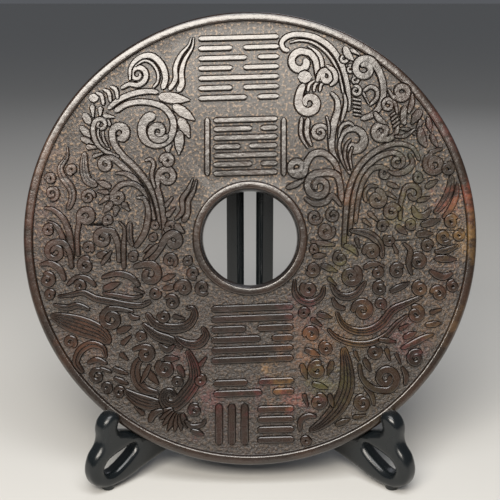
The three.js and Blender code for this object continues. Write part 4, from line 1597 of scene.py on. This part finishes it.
@dataclass(frozen=True)
class PolishedJade:
    """Dark nephrite, carved, waxed and polished by hand.

    The tops are smooth and glossy, so the soft light shows in them as a sheen. The ground between them is
    punched, so it stays matt and granular;
    painted shade, with grime, darkens the grooves, the ribbons' walls and the ground's pits, and a painted
    sheen lightens its grains towards the top.

    Attributes:
        disc: The disc that it is laid on.
        dark: Colour of the stone.
        warm: Colour of its browner clouds.
        ground: Colour of the punched ground.
        worn_and_sheen: Colour of the ground's light grains, as wear and as painted sheen.
        dirt_and_shade: Colour of the grime and painted shade in the grooves, on the ribbons' walls and in the
            ground's pits.
        stains_and_sheen: The stains, two of them partly a painted sheen.
    """

    disc: JadeDisc
    dark: str = "21170f"
    warm: str = "302015"
    ground: str = "2f241a"
    # Light grains: wear, and a painted sheen towards the top.
    worn_and_sheen: str = "8c745b"
    # Painted shade with grime: the colour of the grooves, the ribbons' walls and the ground's pits.
    dirt_and_shade: str = "130c08"
    stains_and_sheen: tuple[StainAndSheenPatch, ...] = (
        StainAndSheenPatch(-142, 20, 60, "523328", 0.61),
        # Painted sheen in part: this pale tan patch and the grey-brown one after it, at the upper left, are
        # partly the stone's colour and partly a painted sheen.
        StainAndSheenPatch(-128, 50, 34, "715643", 0.45),
        StainAndSheenPatch(-95, 30, 70, "493f38", 0.38),
        StainAndSheenPatch(95, 25, 55, "484130", 0.52),
        StainAndSheenPatch(105, 60, 26, "384336", 0.38),
        StainAndSheenPatch(127, 73, 24, "5e3833", 0.52),
        StainAndSheenPatch(140, 26, 20, "864534", 0.64),
        StainAndSheenPatch(143, 2, 24, "816236", 0.64),
        StainAndSheenPatch(72, 22, 18, "6a482f", 0.49),
        StainAndSheenPatch(62, 36, 14, "67412d", 0.45),
        StainAndSheenPatch(104, 18, 16, "5d552c", 0.45),
        StainAndSheenPatch(59, -16, 16, "5d572c", 0.52),
        StainAndSheenPatch(33, -48, 18, "643035", 0.49),
        StainAndSheenPatch(41, -72, 26, "795030", 0.61),
        StainAndSheenPatch(70, -62, 22, "71562f", 0.57),
        StainAndSheenPatch(90, -54, 20, "502b26", 0.45),
        StainAndSheenPatch(124, -53, 28, "674e33", 0.52),
        StainAndSheenPatch(127, -30, 22, "523427", 0.52),
        StainAndSheenPatch(105, -66, 18, "643436", 0.45),
        StainAndSheenPatch(20, -98, 16, "8c6738", 0.68),
        StainAndSheenPatch(27, -107, 12, "702c30", 0.61),
        StainAndSheenPatch(6, -106, 12, "5d2529", 0.57),
        StainAndSheenPatch(47, -97, 18, "535528", 0.57),
        StainAndSheenPatch(42, -107, 14, "5e2c2c", 0.49),
        StainAndSheenPatch(72, -100, 34, "433921", 0.45),
        StainAndSheenPatch(-40, -81, 18, "502221", 0.57),
        StainAndSheenPatch(-30, -108, 16, "5b2427", 0.57),
        StainAndSheenPatch(-30, -122, 12, "542123", 0.52),
        StainAndSheenPatch(-107, -67, 24, "5c3a27", 0.49),
        StainAndSheenPatch(-88, -31, 16, "502e26", 0.45),
        StainAndSheenPatch(-51, -24, 18, "5d3d2d", 0.45),
        StainAndSheenPatch(-50, 26, 12, "51332f", 0.38),
        StainAndSheenPatch(-15, -60, 26, "3c221c", 0.42),
        StainAndSheenPatch(-15, -122, 20, "3a1d19", 0.45),
        StainAndSheenPatch(0, -148, 60, "2f1f18", 0.38),
    )

    def face(self, tree: bpy.types.NodeTree) -> bpy.types.NodeSocket:
        """Adds the disc's own coordinates.

        Args:
            tree: The node tree.

        Returns:
            Millimetres on the disc: right, up its face, and out of it.
        """
        place = add(tree, "ShaderNodeTexCoord", {}, "Object")
        centre = self.disc.pose().translation
        moved = add(tree, "ShaderNodeVectorMath", {0: place, 1: centre}, operation="SUBTRACT")
        turn = (self.disc.lean - math.pi / 2, 0, 0)
        scale = (1 / MM,) * 3
        return add(tree, "ShaderNodeMapping", {"Vector": moved, "Scale": scale, "Rotation": turn})

    def stained_and_sheened(
        self,
        tree: bpy.types.NodeTree,
        colour: bpy.types.NodeSocket,
        face: bpy.types.NodeSocket,
        veins: bpy.types.NodeSocket,
    ) -> bpy.types.NodeSocket:
        """Lays the patches on the stone, stains and in part painted sheen, with edges that wander up to about
        30 mm.

        Args:
            tree: The node tree.
            colour: The stone's colour.
            face: Millimetres on the disc.
            veins: The noise that breaks the patches up.

        Returns:
            The colour with the patches on it.
        """
        noise = {"Vector": face, "Scale": 0.07, "Detail": 5.0, "Roughness": 0.65}
        drift = add(tree, "ShaderNodeTexNoise", noise, 1)
        drift = add(tree, "ShaderNodeVectorMath", {0: drift, 1: (0.5, 0.5, 0.5)}, operation="SUBTRACT")
        drift = add(tree, "ShaderNodeVectorMath", {0: drift, "Scale": 60.0}, operation="SCALE")
        warped = add(tree, "ShaderNodeVectorMath", {0: face, 1: drift}, operation="ADD")
        inputs = {"Value": veins, "From Min": 0.38, "From Max": 0.6, "To Min": 0.1}
        blotches = add(tree, "ShaderNodeMapRange", inputs, **SMOOTH)
        for patch in self.stains_and_sheen:
            ends = {0: warped, 1: (patch.x, patch.y, 0)}
            away = add(tree, "ShaderNodeVectorMath", ends, "Value", operation="DISTANCE")
            fade = {
                "Value": away,
                "From Min": patch.radius * 1.1,
                "From Max": patch.radius * 0.1,
                "To Min": 0,
                "To Max": patch.strength,
            }
            share = add(tree, "ShaderNodeMapRange", fade, **SMOOTH)
            share = add(tree, "ShaderNodeMath", {0: share, 1: blotches}, operation="MULTIPLY")
            colour = add(tree, "ShaderNodeMix", {0: share, 6: colour, 7: linear(patch.colour)}, 2, **TINT)
        return colour

    def punched(
        self,
        tree: bpy.types.NodeTree,
        colour: bpy.types.NodeSocket,
        grains: bpy.types.NodeSocket,
        sunk: bpy.types.NodeSocket,
        up: bpy.types.NodeSocket,
    ) -> bpy.types.NodeSocket:
        """Lays light grains, as wear and as a painted sheen that grows towards the top, and dark pits, as
        painted shade and grime, on the punched ground.

        Args:
            tree: The node tree.
            colour: The colour under them.
            grains: The noise that they follow.
            sunk: Where the ground is.
            up: Millimetres up the face.

        Returns:
            The colour with both on it.
        """
        inputs = {"Value": grains, "From Min": 0.54, "From Max": 0.64}
        grain_wear_and_sheen = add(tree, "ShaderNodeMapRange", inputs, **SMOOTH)
        grain_wear_and_sheen = add(tree, "ShaderNodeMath", {0: grain_wear_and_sheen, 1: sunk}, operation="MULTIPLY")
        # Painted sheen: the light grains show more towards the top of the face, where the light catches them.
        inputs = {"Value": up, "From Min": -80, "From Max": 60, "To Min": 0.16, "To Max": 0.85}
        sheen_towards_top = add(tree, "ShaderNodeMapRange", inputs, **SMOOTH)
        grain_wear_and_sheen = add(tree, "ShaderNodeMath", {0: grain_wear_and_sheen, 1: sheen_towards_top}, operation="MULTIPLY")
        colour = add(tree, "ShaderNodeMix", {0: grain_wear_and_sheen, 6: colour, 7: linear(self.worn_and_sheen)}, 2, **TINT)
        # Painted shade, with grime: the grain's low points, which the bump sinks, are darkened.
        inputs = {"Value": grains, "From Min": 0.5, "From Max": 0.38}
        pit_shade_and_grime = add(tree, "ShaderNodeMapRange", inputs, **SMOOTH)
        pit_shade_and_grime = add(tree, "ShaderNodeMath", {0: pit_shade_and_grime, 1: sunk}, operation="MULTIPLY")
        pit_shade_and_grime = add(tree, "ShaderNodeMath", {0: pit_shade_and_grime, 1: 0.85}, operation="MULTIPLY")
        return add(tree, "ShaderNodeMix", {0: pit_shade_and_grime, 6: colour, 7: linear(self.dirt_and_shade)}, 2, **TINT)

    def soiled_and_shaded(
        self,
        tree: bpy.types.NodeTree,
        colour: bpy.types.NodeSocket,
        depth: bpy.types.NodeSocket,
        front: bpy.types.NodeSocket,
    ) -> bpy.types.NodeSocket:
        """Lays dark colour in the grooves round the ribbons, as grime and painted shade, and on the ribbons'
        walls, as painted shade.

        Args:
            tree: The node tree.
            colour: The colour under it.
            depth: Millimetres out of the face.
            front: Where the carved front is.

        Returns:
            The colour with the painted shade and grime on it.
        """
        # Painted shade, with grime: the grooves round the ribbons, darkened by their depth.
        inputs = {"Value": depth, "From Min": -2.02, "From Max": -2.25}
        groove = add(tree, "ShaderNodeMapRange", inputs, **SMOOTH)
        groove = add(tree, "ShaderNodeMath", {0: groove, 1: front}, operation="MULTIPLY")
        # Painted shade: the ribbons' steep walls, darkened by their depth.
        inputs = {"Value": depth, "From Min": -0.62, "From Max": -0.95}
        below = add(tree, "ShaderNodeMapRange", inputs, **SMOOTH)
        inputs = {"Value": depth, "From Min": -1.99, "From Max": -1.9}
        above = add(tree, "ShaderNodeMapRange", inputs, **SMOOTH)
        wall = add(tree, "ShaderNodeMath", {0: below, 1: above}, operation="MULTIPLY")
        share = add(tree, "ShaderNodeMath", {0: groove, 1: wall}, operation="MAXIMUM")
        share = add(tree, "ShaderNodeMath", {0: share, 1: 0.88}, operation="MULTIPLY")
        return add(tree, "ShaderNodeMix", {0: share, 6: colour, 7: linear(self.dirt_and_shade)}, 2, **TINT)

    def material(self) -> bpy.types.Material:
        """Makes the material.

        Returns:
            The material.
        """
        material, tree, shader = fresh("polished_jade")
        face = self.face(tree)
        up = add(tree, "ShaderNodeSeparateXYZ", {0: face}, 1)
        depth = up.node.outputs[2]
        # Clouds about 30 mm across, veins of about 8 mm, and grains of about 2 mm. Real punch
        # marks are near 0.5 mm; they are drawn coarser so that they show.
        clouds = add(tree, "ShaderNodeTexNoise", {"Vector": face, "Scale": 0.035, "Detail": 5.0})
        noise = {"Vector": face, "Scale": 0.13, "Detail": 4.0, "Roughness": 0.6}
        veins = add(tree, "ShaderNodeTexNoise", noise)
        noise = {"Vector": face, "Scale": 0.52, "Detail": 2.0, "Roughness": 0.6}
        grains = add(tree, "ShaderNodeTexNoise", noise)

        # The carved front, and the sunk ground on it.
        inputs = {"Value": depth, "From Min": -3.2, "From Max": -3.0}
        front = add(tree, "ShaderNodeMapRange", inputs, **SMOOTH)
        inputs = {"Value": depth, "From Min": -1.75, "From Max": -1.9}
        sunk = add(tree, "ShaderNodeMapRange", inputs, **SMOOTH)
        sunk = add(tree, "ShaderNodeMath", {0: sunk, 1: front}, operation="MULTIPLY")

        inputs = {"Value": clouds, "From Min": 0.4, "From Max": 0.62}
        browner = add(tree, "ShaderNodeMapRange", inputs, **SMOOTH)
        colours = {0: browner, 6: linear(self.dark), 7: linear(self.warm)}
        colour = add(tree, "ShaderNodeMix", colours, 2, **TINT)
        colour = add(tree, "ShaderNodeMix", {0: sunk, 6: colour, 7: linear(self.ground)}, 2, **TINT)
        # Stains, and at the upper left partly a painted sheen.
        colour = self.stained_and_sheened(tree, colour, face, veins)
        # Painted sheen on the ground's grains towards the top, and painted shade with grime in its pits.
        colour = self.punched(tree, colour, grains, sunk, up)
        # Painted shade, with grime, in the grooves and on the ribbons' walls.
        colour = self.soiled_and_shaded(tree, colour, depth, front)

        marks = add(tree, "ShaderNodeMath", {0: grains, 1: sunk}, operation="MULTIPLY")
        wavy = add(tree, "ShaderNodeMath", {0: veins, 1: 0.25}, operation="MULTIPLY")
        height = add(tree, "ShaderNodeMath", {0: marks, 1: wavy}, operation="ADD")
        bump = add(tree, "ShaderNodeBump", {"Height": height, "Strength": 1.0, "Distance": 0.0014})
        inputs = {"Value": sunk, "To Min": 0.18, "To Max": 0.42}
        matt = add(tree, "ShaderNodeMapRange", inputs, **SMOOTH)
        grainy = add(tree, "ShaderNodeMath", {0: grains, 1: 0.14}, operation="MULTIPLY")
        rough = add(tree, "ShaderNodeMath", {0: matt, 1: grainy}, operation="ADD")
        tree.links.new(colour, shader.inputs["Base Color"])
        tree.links.new(rough, shader.inputs["Roughness"])
        tree.links.new(bump, shader.inputs["Normal"])
        shader.inputs["IOR"].default_value = 1.66
        shader.inputs["Coat Weight"].default_value = 0.4
        shader.inputs["Coat Roughness"].default_value = 0.2
        return material


@dataclass(frozen=True)
class MouldedPlastic:
    """Black ABS from a polished mould: glossy, with a faint orange peel and hazy, handled patches.

    Attributes:
        black: Its colour.
        handled: Its colour where it is hazy.
    """

    black: str = "0d1113"
    handled: str = "171c1f"

    def material(self) -> bpy.types.Material:
        """Makes the material.

        Returns:
            The material.
        """
        material, tree, shader = fresh("black_abs")
        place = add(tree, "ShaderNodeTexCoord", {}, "Object")
        # Orange peel of about 4 mm and hazy patches of about 20 mm.
        peel = add(tree, "ShaderNodeTexNoise", {"Vector": place, "Scale": 240.0, "Detail": 2.0})
        haze = add(tree, "ShaderNodeTexNoise", {"Vector": place, "Scale": 50.0, "Detail": 4.0})
        inputs = {"Value": haze, "From Min": 0.4, "From Max": 0.7, "To Min": 0.17, "To Max": 0.32}
        rough = add(tree, "ShaderNodeMapRange", inputs)
        colours = {0: haze, 6: linear(self.black), 7: linear(self.handled)}
        colour = add(tree, "ShaderNodeMix", colours, 2, data_type="RGBA")
        bump = add(tree, "ShaderNodeBump", {"Height": peel, "Strength": 0.15, "Distance": 0.0004})
        tree.links.new(colour, shader.inputs["Base Color"])
        tree.links.new(rough, shader.inputs["Roughness"])
        tree.links.new(bump, shader.inputs["Normal"])
        shader.inputs["IOR"].default_value = 1.53
        return material


# ---------------------------------------------------------------------------------------------
# Studio
# ---------------------------------------------------------------------------------------------


@dataclass(frozen=True)
class Lamp:
    """A soft rectangular light.

    Attributes:
        name: Its name.
        place: Where it is, in metres.
        size: Its width and height, in metres.
        power: Its power, in watts.
        tint: Its colour.
    """

    name: str
    place: tuple[float, float, float]
    size: tuple[float, float]
    power: float
    tint: str


@dataclass(frozen=True)
class Studio:
    """The pale floor, the soft lights and the camera.

    Attributes:
        distance: From the camera to the disc's face, in metres.
        view: Width that the camera sees there, in metres.
        rise: How far the frame is moved up, as a share of its width.
        sensor: Width of the camera's sensor, in millimetres.
        floor: Colour of the floor.
        air: Colour of the room's own light.
        lamps: The lights.
    """

    distance: float = 0.65
    view: float = 0.33
    rise: float = -11.7 / 500
    sensor: float = 36.0
    floor: str = "dddcd8"
    air: str = "585a5e"
    lamps: tuple[Lamp, ...] = (
        Lamp("window", (-0.24, -1.16, 0.92), (1.0, 0.42), 20, "fff8ee"),
        Lamp("ceiling", (0.05, -0.55, 1.1), (0.8, 0.5), 7, "ffffff"),
        Lamp("back_fill", (0.4, 1.6, 1.2), (0.9, 0.9), 2.2, "f4f6ff"),
    )

    def camera(self, disc: JadeDisc) -> None:
        """Sets the camera square on to the disc's face.

        Args:
            disc: The disc.
        """
        data = bpy.data.cameras.new("camera")
        data.sensor_width = self.sensor
        data.lens = self.sensor * self.distance / self.view
        data.shift_y = self.rise
        data.clip_end = 50
        camera = bpy.data.objects.new("camera", data)
        bpy.context.scene.collection.objects.link(camera)
        outwards = Vector((0, -math.cos(disc.lean), math.sin(disc.lean)))
        camera.location = disc.pose().translation + outwards * self.distance
        camera.rotation_euler = (math.pi / 2 - disc.lean, 0, 0)
        bpy.context.scene.camera = camera

    def light(self, target: Vector) -> None:
        """Sets the lights and the room's own light.

        Args:
            target: The point that the lights face.
        """
        for lamp in self.lamps:
            data = bpy.data.lights.new(lamp.name, "AREA")
            data.shape = "RECTANGLE"
            data.size, data.size_y = lamp.size
            data.energy = lamp.power
            data.color = linear(lamp.tint)[:3]
            made = bpy.data.objects.new(lamp.name, data)
            made.location = lamp.place
            made.rotation_euler = (target - Vector(lamp.place)).to_track_quat("-Z", "Y").to_euler()
            bpy.context.scene.collection.objects.link(made)
        world = bpy.data.worlds.new("room")
        world.use_nodes = True
        world.node_tree.nodes["Background"].inputs[0].default_value = linear(self.air)
        bpy.context.scene.world = world
        bpy.context.scene.view_settings.view_transform = "Standard"

    def lay_floor(self) -> None:
        """Lays the floor."""
        work = bmesh.new()
        bmesh.ops.create_grid(work, x_segments=8, y_segments=8, size=30)
        mesh = bpy.data.meshes.new("floor")
        work.to_mesh(mesh)
        work.free()
        # Matt paper: no grain that shows at this distance.
        material, _, shader = fresh("matt_paper")
        shader.inputs["Base Color"].default_value = linear(self.floor)
        shader.inputs["Roughness"].default_value = 0.9
        mesh.materials.append(material)
        floor = bpy.data.objects.new("floor", mesh)
        bpy.context.scene.collection.objects.link(floor)


def corners(box: object) -> list[list[float]]:
    """Turns a box into plain numbers.

    Args:
        box: Its two corners.

    Returns:
        The corners as lists.
    """
    return [[float(v) for v in corner] for corner in box]


def main() -> None:
    """Builds the scene."""
    logging.basicConfig(level=logging.INFO, format="%(message)s")
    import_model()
    disc = JadeDisc()
    studio = Studio()
    studio.camera(disc)
    pieces = [disc.build(Carving(), PolishedJade(disc).material())]
    black = MouldedPlastic().material()
    pieces += [StandLeaf(side).build(disc, black) for side in (-1, 1)]
    for piece in pieces:
        LOG.info("%s: %d faces", piece.name, len(piece.data.polygons))
    studio.lay_floor()
    studio.light(disc.pose().translation)
    bpy.context.view_layer.update()


if __name__ == "__main__":
    main()
